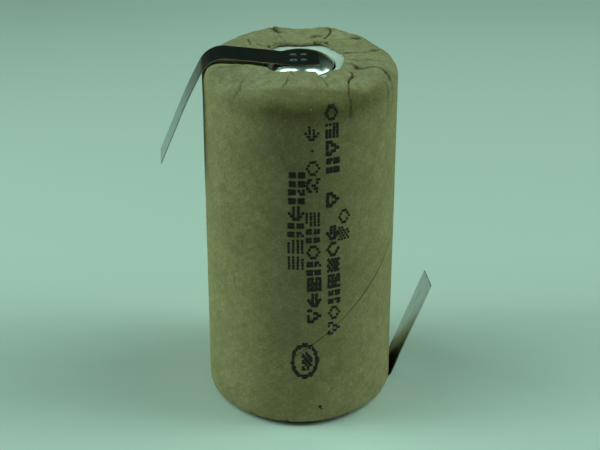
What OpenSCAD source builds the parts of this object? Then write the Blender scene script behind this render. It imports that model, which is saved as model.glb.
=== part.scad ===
// Cylindrical rechargeable battery cell, C size, with a wound paper sleeve
// and two spot-welded nickel solder tabs.
// Z = 0 is the resting face, +Z points to the positive end, the cell's axis
// is the Z axis. Both tabs run roughly along X: the positive one leaves the
// top towards -X and hangs down, the negative one leaves the base towards +X
// and stands up.

/* [Paper sleeve] */
// Outer radius of the sleeve
sleeve_r = 13.0; // [12.95:0.05:13.1]
// Thickness of the wound paper
sleeve_t = 0.35; // [0.3:0.01:0.36]
// Height of the sleeve's upper folded lip above the resting face
sleeve_h = 49.4; // [49.4:0.05:49.6]
// Rounding of the upper shoulder
shoulder_r = 1.6; // [1.4:0.1:1.8]
// Rounding of the lower corner
foot_r = 1.2; // [1.1:0.1:1.3]
// Radius of the opening in the upper lip
top_open_r = 6.4; // [5.6:0.1:7.2]
// Radius of the opening in the lower lip
bottom_open_r = 7.0; // [6.4:0.1:7.6]

/* [Steel can] */
// Outer radius of the can
can_r = 12.62; // [12.5:0.01:12.62]
// Wall thickness of the can
can_t = 0.35; // [0.3:0.01:0.36]
// Thickness of the can's base
base_t = 0.5; // [0.4:0.05:0.5]
// Height of the middle of the rolled bead
bead_z = 45.45; // [45.2:0.05:45.45]

/* [Electrode roll] */
// Radius of the winding hole in the middle of the roll
core_r = 2.2; // [2:0.1:2.6]
// Thickness of the negative electrode sheet
neg_t = 0.56; // [0.5:0.01:0.56]
// Thickness of the positive electrode sheet
pos_t = 0.66; // [0.6:0.01:0.66]
// Thickness of each separator sheet
sep_t = 0.16; // [0.12:0.01:0.16]
// Number of turns of the negative sheet
roll_turns = 5.75; // [5.25:0.25:5.75]

/* [Vent] */
// Radius of the vent hole in the cover plate
vent_hole_r = 1.0; // [0.8:0.1:1.2]
// Wire diameter of the valve spring
spring_wire = 0.25; // [0.2:0.01:0.25]
// Number of working turns of the valve spring
spring_turns = 2.5; // [1.5:0.5:2.5]

/* [Positive cap] */
// Outer radius of the cap's button
cap_r = 4.5; // [4.3:0.1:4.6]
// Height of the cap's flat top above the resting face
cap_top = 49.85; // [49.85:0.05:49.95]

/* [Solder tabs] */
// Width of the nickel strip
tab_w = 4.4; // [4:0.1:5]
// Thickness of the nickel strip
tab_t = 0.15; // [0.1:0.01:0.15]
// Direction of the positive tab, counter-clockwise from +X
pos_tab_az = 185.1; // [180:0.1:190]
// Slope of the positive tab between the cap and its bend
pos_tab_rise = 8.1; // [6:0.1:9]
// Distance from the axis at which the positive tab lifts off the cap
pos_flat_x = 1.2; // [0.6:0.1:2]
// Distance of the positive tab's bend from the cell's axis
pos_bend_x = 12.53; // [12.5:0.01:13]
// Bend radius of the positive tab
pos_bend_r = 3.0; // [2:0.1:3.2]
// Angle of the positive tab's leg below the horizontal
pos_leg_fall = 67.6; // [60:0.1:72]
// Length of the positive tab's leg
pos_leg_l = 16.5; // [10:0.5:20]
// Direction of the negative tab, counter-clockwise from +X
neg_tab_az = 8.4; // [0:0.1:12]
// Sideways shift of the negative tab
neg_tab_shift = -0.57; // [-1:0.01:0]
// Distance of the negative tab's bend from the cell's axis
neg_bend_x = 12.9; // [12.9:0.01:13.4]
// Bend radius of the negative tab
neg_bend_r = 0.8; // [0.5:0.1:0.9]
// Angle of the negative tab's leg above the horizontal
neg_leg_rise = 69.3; // [60:0.1:72]
// Length of the negative tab's leg
neg_leg_l = 15.9; // [10:0.5:20]

/* [Hidden] */

$fn = 96;
over = 1;                         // reach of cutters and masks past a piece

// Colours used by more than one node
tab_nickel = [0.70, 0.72, 0.69];
collector_steel = [0.75, 0.76, 0.74];
separator_white = [0.93, 0.93, 0.90];

// Can
can_z0 = 0.36;                    // underside of the can
can_floor = can_z0 + base_t;      // inner floor of the can
can_ir = can_r - can_t;
can_corner_r = 0.9;               // rounding of the lower corner
bead_ro = 0.9;                    // radius of the bead's groove
bead_ri = bead_ro + can_t;
rim_z = 48.60;                    // top of the crimped rim
rim_ir = 9.6;                     // inner radius of the crimped rim
rim_corner_r = 0.6;               // rounding between wall and rim

// Electrode roll and its collectors
layer_gap = 0.02;
pitch = neg_t + pos_t + 2 * sep_t + 4 * layer_gap;
inner_sep_r = core_r + neg_t + layer_gap;
pos_sheet_r = inner_sep_r + sep_t + layer_gap;
outer_sep_r = pos_sheet_r + pos_t + layer_gap;
wind_step = 15;                   // degrees between points of a winding
neg_sheet_z0 = 1.60;
sep_z0 = 2.0;
pos_sheet_z0 = 2.6;
roll_top = 42.30;                 // upper edge of the separators
pos_sheet_top = roll_top + 0.3;
pos_disc_t = 0.3;
pos_disc_top = pos_sheet_top + pos_disc_t;

// Cover plate and gasket
plate_t = 0.6;
plate_r = 11.5;
plate_z0 = 47.25;                 // underside of the cover plate's edge
plate_z1 = plate_z0 + plate_t;    // top of the cover plate's edge
dish_r = 8.2;                     // outer radius of the dished middle
dish_z0 = 46.30;                  // underside of the dished middle
dish_z1 = dish_z0 + plate_t;      // floor of the dish
gasket_z0 = 46.70;                // underside of the gasket

// Valve
seat_h = 0.10;                    // raised seat round the vent hole
seal_t = 0.5;
seal_z0 = dish_z1 + seat_h;
vent_plate_z0 = seal_z0 + seal_t;
vent_plate_t = 0.2;

// Cap
cap_t = 0.3;
cap_flange_r = 6.4;
cap_round = 1.6;                  // rounding of the button's shoulder

// ---------------------------------------------------------------- helpers
// Rectangle in the radius-height plane; each argument is [from, to]
module band(radii, heights)
    translate([radii[0], heights[0]])
        square([radii[1] - radii[0], heights[1] - heights[0]]);

// Quarter ring in the radius-height plane, centred on [x, y]
module quarter_ring(x, y, outer, inner, up)
    intersection() {
        translate([x, y]) difference() {
            circle(r = outer);
            circle(r = inner);
        }
        translate([x, up ? y : y - outer - over]) square([outer + over, outer + over]);
    }

module flat_ring(height, outer, inner)
    difference() {
        cylinder(h = height, r = outer);
        translate([0, 0, -over]) cylinder(h = 3, r = inner);
    }

// Copies spread evenly about the axis
module around(count, start = 0)
    for (i = [0 : count - 1]) rotate([0, 0, start + 360 * i / count]) children();

// Side view of a strip, drawn in the plane of distance and height and
// pulled out over the strip's width
module strip_side(width)
    translate([0, width / 2, 0]) rotate([90, 0, 0]) linear_extrude(height = width) children();

// ---------------------------------------------------------------- sleeve
module sleeve_profile() {
    shoulder_x = sleeve_r - shoulder_r;
    shoulder_z = sleeve_h - shoulder_r;
    foot_x = sleeve_r - foot_r;
    // wall
    band([sleeve_r - sleeve_t, sleeve_r], [foot_r, shoulder_z]);
    // upper shoulder and lip
    quarter_ring(shoulder_x, shoulder_z, shoulder_r, shoulder_r - sleeve_t, true);
    band([top_open_r, shoulder_x], [sleeve_h - sleeve_t, sleeve_h]);
    // lower corner and lip
    quarter_ring(foot_x, foot_r, foot_r, foot_r - sleeve_t, false);
    band([bottom_open_r, foot_x], [0, sleeve_t]);
}

// Wound paper tube, folded in over both ends. The lower lip is pressed
// thinner where the negative tab passes under it.
module paper_sleeve() {
    side_gap = 0.1;
    top_gap = 0.02;
    color([0.42, 0.40, 0.27])
    difference() {
        rotate_extrude() sleeve_profile();
        rotate([0, 0, neg_tab_az])
            translate([bottom_open_r - 2, neg_tab_shift - tab_w / 2 - side_gap, -over])
            cube([10, tab_w + 2 * side_gap, over + tab_t + top_gap]);
    }
}

// ---------------------------------------------------------------- can
module can_profile() {
    corner_x = can_r - can_corner_r;
    corner_z = can_z0 + can_corner_r;
    rim_corner_x = can_r - rim_corner_r;
    rim_corner_z = rim_z - rim_corner_r;
    difference() {
        union() {
            // side wall
            band([can_ir, can_r], [corner_z, rim_corner_z]);
            // rounded lower corner
            intersection() {
                translate([corner_x, corner_z]) circle(r = can_corner_r);
                band([corner_x, can_r], [can_z0, corner_z]);
            }
            // base
            band([0, corner_x], [can_z0, can_floor]);
            // bead's ring of metal, inside the wall
            intersection() {
                translate([can_r, bead_z]) circle(r = bead_ri);
                band([can_r - bead_ri - over, can_r], [bead_z - bead_ri, bead_z + bead_ri]);
            }
            // crimped rim, turned in over the gasket
            quarter_ring(rim_corner_x, rim_corner_z, rim_corner_r, rim_corner_r - can_t, true);
            band([rim_ir, rim_corner_x], [rim_z - can_t, rim_z]);
        }
        // groove of the bead, from outside
        translate([can_r, bead_z]) circle(r = bead_ro);
        // inside of the lower corner
        band([corner_x - over, can_ir], [can_floor, can_floor + 2]);
        // nothing stands outside the can's own radius
        band([can_r, can_r + 3], [0, 60]);
    }
}

// Drawn steel can: base, wall, rolled bead and crimped rim
module steel_can()
    color([0.72, 0.73, 0.72])
    rotate_extrude() can_profile();

// ---------------------------------------------------------------- roll
// Point of a winding that has the radius r0 at angle 0
function wind_point(r0, angle) =
    (r0 + pitch * angle / 360) * [cos(angle), sin(angle)];

// One wound sheet: outer face out, inner face back
function wound(r0, thickness, a0, a1) = concat(
    [for (a = [a0 : wind_step : a1]) wind_point(r0 + thickness, a)],
    [for (a = [a1 : -wind_step : a0]) wind_point(r0, a)]);

module sheet_roll(r0, thickness, a0, a1, z0, z1)
    translate([0, 0, z0]) linear_extrude(height = z1 - z0)
        polygon(wound(r0, thickness, a0, a1));

module separator(r0)
    color(separator_white)
    sheet_roll(r0, sep_t, 0, 360 * (roll_turns - 1), sep_z0, roll_top);

// The sheets are wound together: negative, separator, positive, separator
module negative_electrode()
    color([0.30, 0.31, 0.30])
    sheet_roll(core_r, neg_t, 0, 360 * roll_turns, neg_sheet_z0, roll_top - 0.6);

module inner_separator() separator(inner_sep_r);

// Starts later and ends sooner than the separators
module positive_electrode()
    color([0.22, 0.24, 0.22])
    sheet_roll(pos_sheet_r, pos_t, 30, 360 * (roll_turns - 1) - 15,
               pos_sheet_z0, pos_sheet_top);

module outer_separator() separator(outer_sep_r);

// Cutters for a collector disc: radial slots through its edge, round holes
// half-way between them
module collector_openings(count, hole_x, slot_x, z0, height) {
    slot_w = 0.6;
    around(count, 180 / count) translate([hole_x, 0, z0]) cylinder(h = height, r = 1.1);
    around(count) translate([slot_x, -slot_w / 2, z0]) cube([4, slot_w, height]);
}

// Disc welded to the lower edge of the negative sheet; its pressed middle
// is welded to the can's floor
module negative_collector() {
    disc_t = 0.35;
    middle_r = 2.4;
    color(collector_steel)
    difference() {
        union() {
            translate([0, 0, neg_sheet_z0 - disc_t]) cylinder(h = disc_t, r = 11.6);
            translate([0, 0, can_floor]) cylinder(h = 0.5, r = middle_r);
        }
        translate([0, 0, can_floor + disc_t]) cylinder(h = 1, r = middle_r - 0.5);
        collector_openings(count = 6, hole_x = 7.2, slot_x = 8.5, z0 = 0, height = 3);
    }
}

// Disc welded to the upper edge of the positive sheet
module positive_collector()
    color(collector_steel)
    difference() {
        translate([0, 0, pos_sheet_top]) cylinder(h = pos_disc_t, r = 10.4);
        translate([0, 0, roll_top]) cylinder(h = 1, r = 1.6);
        collector_openings(count = 4, hole_x = 6.6, slot_x = 7.8, z0 = roll_top, height = 1);
    }

// Folded strip from the positive collector to the cover plate
module positive_lead() {
    lead_w = 4.0;
    lead_t = 0.2;
    fold_x = 3.0;
    fold_r = (dish_z0 - pos_disc_top) / 2;
    color([0.78, 0.78, 0.75])
    rotate([0, 0, 90]) strip_side(lead_w) {
        band([-5.5, fold_x], [pos_disc_top, pos_disc_top + lead_t]);
        band([-3.0, fold_x], [dish_z0 - lead_t, dish_z0]);
        intersection() {
            translate([fold_x, pos_disc_top + fold_r]) difference() {
                circle(r = fold_r);
                circle(r = fold_r - lead_t);
            }
            band([fold_x, fold_x + fold_r + over], [pos_disc_top, pos_disc_top + 2 * fold_r]);
        }
    }
}

// Ring that keeps the negative sheet's edge away from the positive parts
module top_insulator_ring()
    color([0.90, 0.90, 0.86])
    translate([0, 0, pos_disc_top + 0.02])
    flat_ring(height = 0.5, outer = can_ir - 0.05, inner = 7.6);

// ---------------------------------------------------------------- closure
// Moulded gasket, C-shaped in section, squeezed between bead and rim
module sealing_gasket() {
    clearance = 0.02;
    overlap = 0.01;
    corner_x = can_r - rim_corner_r;
    corner_z = rim_z - rim_corner_r;
    wall_x = plate_r + clearance;
    flange_x = 11.8;                  // the flanges end inside the wall
    rim_under = rim_z - can_t;
    color([0.86, 0.88, 0.84])
    rotate_extrude() {
        // wall, and its top under the rim
        band([wall_x, can_ir - clearance], [gasket_z0, corner_z]);
        band([wall_x, corner_x], [corner_z - overlap, rim_under]);
        // rounding inside the rim's corner
        intersection() {
            translate([corner_x, corner_z]) circle(r = rim_corner_r - can_t - clearance);
            translate([corner_x - 0.1, corner_z - overlap]) square([1, 1]);
        }
        // flanges below and above the cover plate
        band([10.3, flange_x], [gasket_z0, plate_z0]);
        band([10.0, flange_x], [plate_z1, rim_under]);
    }
}

// Cover plate with a dished middle, a vent hole and a raised valve seat
module cover_plate() {
    dish_ir = dish_r - plate_t;
    color([0.74, 0.75, 0.74])
    rotate_extrude() {
        band([dish_ir, plate_r], [plate_z0, plate_z1]);
        band([dish_ir, dish_r], [dish_z0, plate_z1]);
        band([vent_hole_r, dish_r], [dish_z0, dish_z1]);
        band([vent_hole_r, vent_hole_r + 0.35], [dish_z1, seal_z0]);
    }
}

// Rubber disc that closes the vent hole
module vent_seal()
    color([0.12, 0.12, 0.12])
    translate([0, 0, seal_z0]) cylinder(h = seal_t, r = 2.3);

// Metal disc that spreads the spring's force over the rubber, with a boss
// inside the spring
module vent_plate()
    color([0.78, 0.78, 0.76])
    translate([0, 0, vent_plate_z0]) {
        cylinder(h = vent_plate_t, r = 2.5);
        cylinder(h = vent_plate_t + 0.3, r = 0.9);
    }

// Coil spring between the metal disc and the inside of the cap: round wire
// swept along the coil, with closed end turns
module vent_spring() {
    z0 = vent_plate_z0 + vent_plate_t;
    z1 = cap_top - cap_t;
    wire_r = spring_wire / 2;
    coil_r = 1.6;
    turn_steps = 24;
    sides = 10;                              // sides of the wire
    ends = 0.75;                             // closed turns at each end
    steps = turn_steps * (spring_turns + 2 * ends);
    end_rise = (spring_wire + 0.01) * ends;
    mid_rise = z1 - z0 - spring_wire - 2 * end_rise;
    // height of the wire's middle after a number of turns
    function coil_z(turns) = z0 + wire_r + (
        turns < ends ? end_rise * turns / ends
        : turns > ends + spring_turns
            ? end_rise + mid_rise + end_rise * (turns - ends - spring_turns) / ends
        : end_rise + mid_rise * (turns - ends) / spring_turns);
    points = [for (i = [0 : steps], j = [0 : sides - 1])
        let (around_axis = 360 * i / turn_steps,
             around_wire = 360 * j / sides,
             r = coil_r + wire_r * cos(around_wire))
        [r * cos(around_axis), r * sin(around_axis),
         coil_z(i / turn_steps) + wire_r * sin(around_wire)]];
    // start cap, two sets of triangles along the wire, end cap
    faces = concat(
        [[for (j = [0 : sides - 1]) j]],
        [for (i = [0 : steps - 1], j = [0 : sides - 1])
            let (k = (j + 1) % sides)
            [i * sides + j, (i + 1) * sides + j, (i + 1) * sides + k]],
        [for (i = [0 : steps - 1], j = [0 : sides - 1])
            let (k = (j + 1) % sides)
            [i * sides + j, (i + 1) * sides + k, i * sides + k]],
        [[for (j = [sides - 1 : -1 : 0]) steps * sides + j]]);
    color([0.70, 0.71, 0.70])
    polyhedron(points = points, faces = faces);
}

// Half section of the button, solid, inset from the outer skin. The
// shoulder's circle reaches past the wall and is clipped to it.
module cap_outline(inset) {
    round_x = cap_r - cap_round + 0.3;
    round_z = cap_top - cap_round;
    intersection() {
        union() {
            band([0, round_x], [dish_z1, cap_top - inset]);
            translate([round_x, round_z]) circle(r = cap_round - inset);
            band([0, cap_r - inset], [dish_z1, round_z + 0.2]);
        }
        band([0, cap_r - inset], [dish_z1, dish_z1 + 10]);
    }
}

// Nickel-plated button with its flange welded in the dish, and four gas
// holes low in its wall
module positive_cap()
    color([0.80, 0.80, 0.78])
    difference() {
        rotate_extrude() difference() {
            union() {
                cap_outline(0);
                band([0, cap_flange_r], [dish_z1, dish_z1 + cap_t]);
            }
            cap_outline(cap_t);
        }
        around(4, 45) translate([3, 0, dish_z1 + 0.95])
            rotate([0, 90, 0]) cylinder(h = 3, r = 0.4);
    }

// White fibre washer round the button, between the rim and the sleeve's lip
module insulating_washer()
    color([0.90, 0.92, 0.88])
    translate([0, 0, rim_z])
    flat_ring(height = sleeve_h - sleeve_t - rim_z, outer = 11.2, inner = cap_r + 0.25);

// ---------------------------------------------------------------- tabs
// Each strip is drawn from the side along its middle line. A point of that
// line is [distance, height, direction]. The hinge stands on the middle line,
// half-way round the bend.
pos_z = cap_top + tab_t / 2;        // middle line on the cap
neg_z = tab_t / 2;                  // middle line on the resting face
base_z = can_z0 - tab_t / 2;        // middle line on the can's base
pos_shift = 0.08;                   // sideways shift of the positive tab
hinge_cut = 0.14;                   // hollow round the hinge
hinge_r = tab_t / 2 - 0.005;        // round end of a leg, at the hinge
pos_corner = [pos_bend_x, pos_z + (pos_bend_x - pos_flat_x) * tan(pos_tab_rise)];
neg_corner = [neg_bend_x, neg_z];

function unit(angle) = [cos(angle), sin(angle)];
function place(point) = [point[0], point[1]];

// Points of a round bend between two shares of its turn. The straight lines
// would meet at corner; the direction changes from a0 to a1.
function bend(corner, a0, a1, r, from = 0, to = 1, steps = 12) =
    let (side = sign(a1 - a0),
         start = corner - r * tan(abs(a1 - a0) / 2) * unit(a0),
         centre = start + side * r * unit(a0 + 90))
    [for (i = [0 : steps])
        let (a = a0 + (a1 - a0) * (from + (to - from) * i / steps),
             point = centre + r * unit(a - 90 * side))
        [point[0], point[1], a]];

// Outline of a strip along such a line
function strip_outline(line, thickness) = concat(
    [for (point = line) place(point) - thickness / 2 * unit(point[2] + 90)],
    [for (i = [len(line) - 1 : -1 : 0])
        place(line[i]) + thickness / 2 * unit(line[i][2] + 90)]);

// The two halves of each tab's bend
function pos_bend(from, to) =
    bend(pos_corner, pos_tab_rise, -pos_leg_fall, pos_bend_r, from, to);
function neg_bend(from, to) = bend(neg_corner, 0, neg_leg_rise, neg_bend_r, from, to);
pos_outer_bend = pos_bend(0.5, 1);
neg_outer_bend = neg_bend(0.5, 1);
pos_hinge = place(pos_outer_bend[0]);
neg_hinge = place(neg_outer_bend[0]);

module in_pos_tab() rotate([0, 0, pos_tab_az]) translate([0, pos_shift, 0]) children();
module in_neg_tab() rotate([0, 0, neg_tab_az]) translate([0, neg_tab_shift, 0]) children();

// Leg from the hinge to its free end
module tab_leg(outer_bend, corner, angle, length)
    strip_side(tab_w)
    union() {
        translate(place(outer_bend[0])) circle(r = hinge_r, $fn = 48);
        polygon(strip_outline(concat(
            outer_bend,
            [concat(corner + length * unit(angle), [angle])]), tab_t));
    }

// Positive tab, part welded to the cap, up to the middle of its bend
module positive_tab_foot()
    color(tab_nickel)
    in_pos_tab() strip_side(tab_w)
    difference() {
        polygon(strip_outline(concat(
            [[-2.4, pos_z, 0]],
            bend([pos_flat_x, pos_z], 0, pos_tab_rise, 3, steps = 3),
            pos_bend(0, 0.5)), tab_t));
        translate(pos_hinge) circle(r = hinge_cut, $fn = 48);
        // relief above the hinge, so that the leg can stand straight up
        translate(pos_hinge) rotate(90 + pos_leg_fall) translate(-pos_hinge)
            polygon(strip_outline(pos_outer_bend, tab_t + 0.06));
    }

// Positive tab, part beyond the middle of its bend
module positive_tab_leg()
    color(tab_nickel)
    in_pos_tab() tab_leg(pos_outer_bend, pos_corner, -pos_leg_fall, pos_leg_l);

// Negative tab, part welded to the can's base and passing under the lip, up
// to the middle of its bend
module negative_tab_foot() {
    // The strip slopes down from the base to the resting face
    slope_start = [6.1, base_z];
    slope_end = [6.7, neg_z];
    slope = atan2(slope_end[1] - slope_start[1], slope_end[0] - slope_start[0]);
    slope_r = 0.3;
    color(tab_nickel)
    in_neg_tab() strip_side(tab_w)
    difference() {
        polygon(strip_outline(concat(
            [[-4, base_z, 0]],
            bend(slope_start, 0, slope, slope_r, steps = 3),
            bend(slope_end, slope, 0, slope_r, steps = 3),
            neg_bend(0, 0.5)), tab_t));
        translate(neg_hinge) circle(r = hinge_cut, $fn = 48);
    }
}

// Negative tab, part beyond the middle of its bend
module negative_tab_leg()
    color(tab_nickel)
    in_neg_tab() tab_leg(neg_outer_bend, neg_corner, neg_leg_rise, neg_leg_l);

paper_sleeve();
steel_can();
negative_electrode();
positive_electrode();
inner_separator();
outer_separator();
negative_collector();
positive_collector();
positive_lead();
top_insulator_ring();
sealing_gasket();
cover_plate();
vent_seal();
vent_plate();
vent_spring();
positive_cap();
insulating_washer();
positive_tab_foot();
positive_tab_leg();
negative_tab_foot();
negative_tab_leg();
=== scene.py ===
import math

import bpy
import numpy as np
from mathutils import Matrix, Vector


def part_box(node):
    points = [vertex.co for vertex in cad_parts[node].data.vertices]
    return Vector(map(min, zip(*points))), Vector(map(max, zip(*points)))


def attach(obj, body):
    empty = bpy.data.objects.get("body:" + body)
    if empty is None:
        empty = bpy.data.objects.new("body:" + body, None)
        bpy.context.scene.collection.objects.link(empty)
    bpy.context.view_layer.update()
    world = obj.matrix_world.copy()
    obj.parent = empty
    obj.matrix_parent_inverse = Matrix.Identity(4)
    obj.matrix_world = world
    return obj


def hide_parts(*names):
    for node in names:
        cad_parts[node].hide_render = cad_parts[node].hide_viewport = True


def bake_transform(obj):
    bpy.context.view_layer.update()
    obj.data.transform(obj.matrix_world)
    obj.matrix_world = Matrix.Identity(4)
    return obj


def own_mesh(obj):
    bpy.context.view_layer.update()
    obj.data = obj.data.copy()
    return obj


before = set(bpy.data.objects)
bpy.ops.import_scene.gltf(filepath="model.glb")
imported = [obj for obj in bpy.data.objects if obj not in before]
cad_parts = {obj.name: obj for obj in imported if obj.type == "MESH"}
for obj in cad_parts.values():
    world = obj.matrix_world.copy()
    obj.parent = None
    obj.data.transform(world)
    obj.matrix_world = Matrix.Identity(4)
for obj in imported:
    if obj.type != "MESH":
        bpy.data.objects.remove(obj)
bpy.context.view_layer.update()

MM = 0.001


# ------------------------------------------------------------------ noise and tables
def hash01(column, row, seed):
    """Repeatable value in 0..1 for whole-number arrays."""
    h = column.astype(np.int64) * 374761393 + row.astype(np.int64) * 668265263
    h = (h + seed * 1442695041) & 0x7FFFFFFF
    h = ((h ^ (h >> 13)) * 1274126177) & 0x7FFFFFFF
    h = (h ^ (h >> 16)) & 0x7FFFFFFF
    return h / float(0x7FFFFFFF)


def noise(x, y, seed, wrap=None):
    """Smooth noise in -1..1; wrap makes x repeat after that many cells."""
    x0, y0 = np.floor(x), np.floor(y)
    fx, fy = x - x0, y - y0
    fx, fy = fx * fx * (3 - 2 * fx), fy * fy * (3 - 2 * fy)
    xa, xb = x0, x0 + 1
    if wrap:
        xa, xb = np.mod(xa, wrap), np.mod(xb, wrap)
    low = hash01(xa, y0, seed) * (1 - fx) + hash01(xb, y0, seed) * fx
    high = hash01(xa, y0 + 1, seed) * (1 - fx) + hash01(xb, y0 + 1, seed) * fx
    return (low * (1 - fy) + high * fy) * 2 - 1


def ring_noise(theta, cells, y, seed):
    """Noise with a whole number of cells round the circle."""
    return noise(np.mod(theta, 360) / 360 * cells, y, seed, wrap=cells)


def smooth(start, end, x):
    """Eased step from 0 at start to 1 at end."""
    t = np.clip((x - start) / (end - start), 0, 1)
    return t * t * (3 - 2 * t)


def bell(x, width):
    return np.exp(-(x / width) ** 2)


def ring_interp(theta, pairs):
    """Linear table of (angle, value) over the full circle."""
    pairs = sorted(pairs)
    xs = np.array([p[0] for p in pairs], float)
    ys = np.array([p[1] for p in pairs], float)
    xs = np.concatenate([[xs[-1] - 360], xs, [xs[0] + 360]])
    ys = np.concatenate([[ys[-1]], ys, [ys[0]]])
    return np.interp(np.mod(theta, 360), xs, ys)


# ------------------------------------------------------------------ meshes
def make_object(name, points_mm, faces):
    """Smooth-shaded object from points in mm and a quad array or a list of faces."""
    mesh = bpy.data.meshes.new(name)
    points = np.asarray(points_mm, float) * MM
    if isinstance(faces, np.ndarray):
        count, corners = faces.shape
        mesh.vertices.add(len(points))
        mesh.vertices.foreach_set("co", points.astype(np.float32).ravel())
        mesh.loops.add(count * corners)
        mesh.loops.foreach_set("vertex_index", faces.astype(np.int32).ravel())
        mesh.polygons.add(count)
        mesh.polygons.foreach_set("loop_start", (np.arange(count) * corners).astype(np.int32))
        mesh.update(calc_edges=True)
        mesh.validate()
    else:
        mesh.from_pydata([tuple(p) for p in points], [], faces)
        mesh.update()
    mesh.polygons.foreach_set("use_smooth", [True] * len(mesh.polygons))
    made = bpy.data.objects.new(name, mesh)
    bpy.context.scene.collection.objects.link(made)
    return made


def set_attribute(mesh, name, values):
    """Point attribute from a rows x columns grid of numbers or of vectors."""
    kind, field = ("FLOAT_VECTOR", "vector") if values.ndim == 3 else ("FLOAT", "value")
    attribute = mesh.attributes.new(name, kind, "POINT")
    attribute.data.foreach_set(field, np.asarray(values, np.float32).ravel())


def grid_faces(rows, columns):
    """Quads of a grid that closes on itself both ways."""
    here = np.arange(rows * columns).reshape(rows, columns)
    beside = np.roll(here, -1, 1)
    quads = [here, beside, np.roll(beside, -1, 0), np.roll(here, -1, 0)]
    return np.stack(quads, -1).reshape(-1, 4)


# ------------------------------------------------------------------ sleeve sizes
SLEEVE_R = 13.0
PAPER_T = 0.35
SHOULDER_R = 1.6                      # rounding of the top edge, its centre at SHOULDER_C, _Z
SHOULDER_C = SLEEVE_R - SHOULDER_R
SHOULDER_Z = 47.8
LIP_Z = SHOULDER_Z + SHOULDER_R
FOOT_R = 1.2                          # rounding of the bottom edge, its centre at FOOT_C, _Z
FOOT_C = SLEEVE_R - FOOT_R
FOOT_Z = FOOT_R
FOOT_HOLE_R = 7.0
SEAM_RISE = 0.182                     # height for each degree of turn along the outer seam
SEAM_THETA, SEAM_Z = 306.7, 18.6      # one place on the outer seam
SEAM_HALF = 0.44                      # half width of the butt seam, in degrees

# the strips lie along these angles, moved sideways by these distances
POS_AZ, POS_SHIFT = 185.1, 0.08
NEG_AZ, NEG_SHIFT = 8.4, -0.57

WALLS = ("wall", "in_wall")
LIPS = ("lip", "edge", "in_lip")
FEET = ("foot", "foot_lip")
TOP_OUTER = ("shoulder", "lip", "edge")

# Tables of (angle, value) round the sleeve.
# Bulge of the shoulder along its normal: the paper stands out at the corners of its facets
SHOULDER_BULGE = [
    (152, 0.06), (144, 0.15), (130, 0.18), (122, 0.27), (114, 0.33), (108.5, 0.52),
    (103, 0.17), (96, -0.02), (90, -0.06), (83, 0.05), (77, 0.27), (71.5, 0.46), (65, 0.30),
    (57, 0.17), (49.5, 0.24), (45, 0.05), (40, -0.04), (29, -0.16), (24, -0.05), (20, -0.14),
    (11.5, -0.16), (0, -0.12), (350, 0.03), (343, -0.02), (331, 0.05), (318, -0.03),
    (305, 0.06), (294, -0.03), (284, 0.04), (270, -0.04), (257, 0.05), (245, -0.02),
    (229, 0.06), (215, -0.03), (200, 0.04), (185, -0.03), (170, 0.03)]
# Radius of the lip's inner edge
OPENING = [
    (133, 5.98), (124, 6.30), (116, 6.52), (103, 6.26), (90, 5.95), (77, 6.30), (71, 6.78),
    (66, 6.98), (58, 6.80), (50, 6.48), (40, 6.40), (29, 6.42), (18, 6.34), (9, 6.02),
    (352, 5.78), (338, 5.80), (331, 5.98), (327, 6.05), (320, 5.60), (313, 5.5), (306, 5.9),
    (301, 6.35), (299, 5.87), (296.5, 5.06), (287, 4.60), (279, 4.36), (270, 4.30),
    (262, 4.36), (253, 4.55), (240, 5.1), (232, 5.29), (224, 5.37), (215, 5.25), (206, 5.08),
    (194, 5.10), (182, 5.0), (170, 5.1), (155, 5.5), (144, 5.75)]
# How far the lip's inner edge stands up
LIP_RISE = [
    (0, 0.16), (20, 0.10), (45, 0.16), (65, 0.22), (72, 0.26), (78, 0.16), (90, 0.22),
    (104, 0.20), (116, 0.24), (135, 0.12), (155, 0.06), (170, 0.10), (182, 0.16), (196, 0.26),
    (212, 0.38), (232, 0.48), (250, 0.56), (270, 0.60), (288, 0.56), (294, 0.48), (298, 0.16),
    (303, 0.12), (308, 0.34), (313, 0.42), (325, 0.36), (338, 0.26), (350, 0.18)]
# How far the shoulder sags
SHOULDER_SAG = [
    (200, 0.0), (225, 0.05), (250, 0.12), (275, 0.16), (310, 0.16), (335, 0.13), (352, 0.06),
    (8, 0.0), (100, 0.0)]
# Strength of the wear and the painted shade on the front, of the wear on the flanks beside it, and
# of the painted shade at the front of the foot
FRONT = [
    (222, 0.0), (240, 0.45), (258, 0.9), (275, 1.0), (310, 1.0), (326, 0.45), (342, 0.0),
    (100, 0.0)]
FLANKS = [
    (200, 0.0), (212, 0.6), (226, 0.7), (240, 0.0), (318, 0.0), (334, 0.75), (352, 0.9),
    (8, 0.4), (20, 0.0), (100, 0.0)]
# painted shade at the front of the foot's rim
FOOT_FRONT_SHADE = [
    (215, 0.0), (245, 0.7), (272, 1.0), (300, 1.0), (325, 0.5), (345, 0.0), (100, 0.0)]

# Angles where the folds of the top lip overlap
TOP_PLEATS = [20.5, 48, 68, 78, 107.5, 133, 160, 204, 228, 256, 295, 308, 330, 349]

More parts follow.
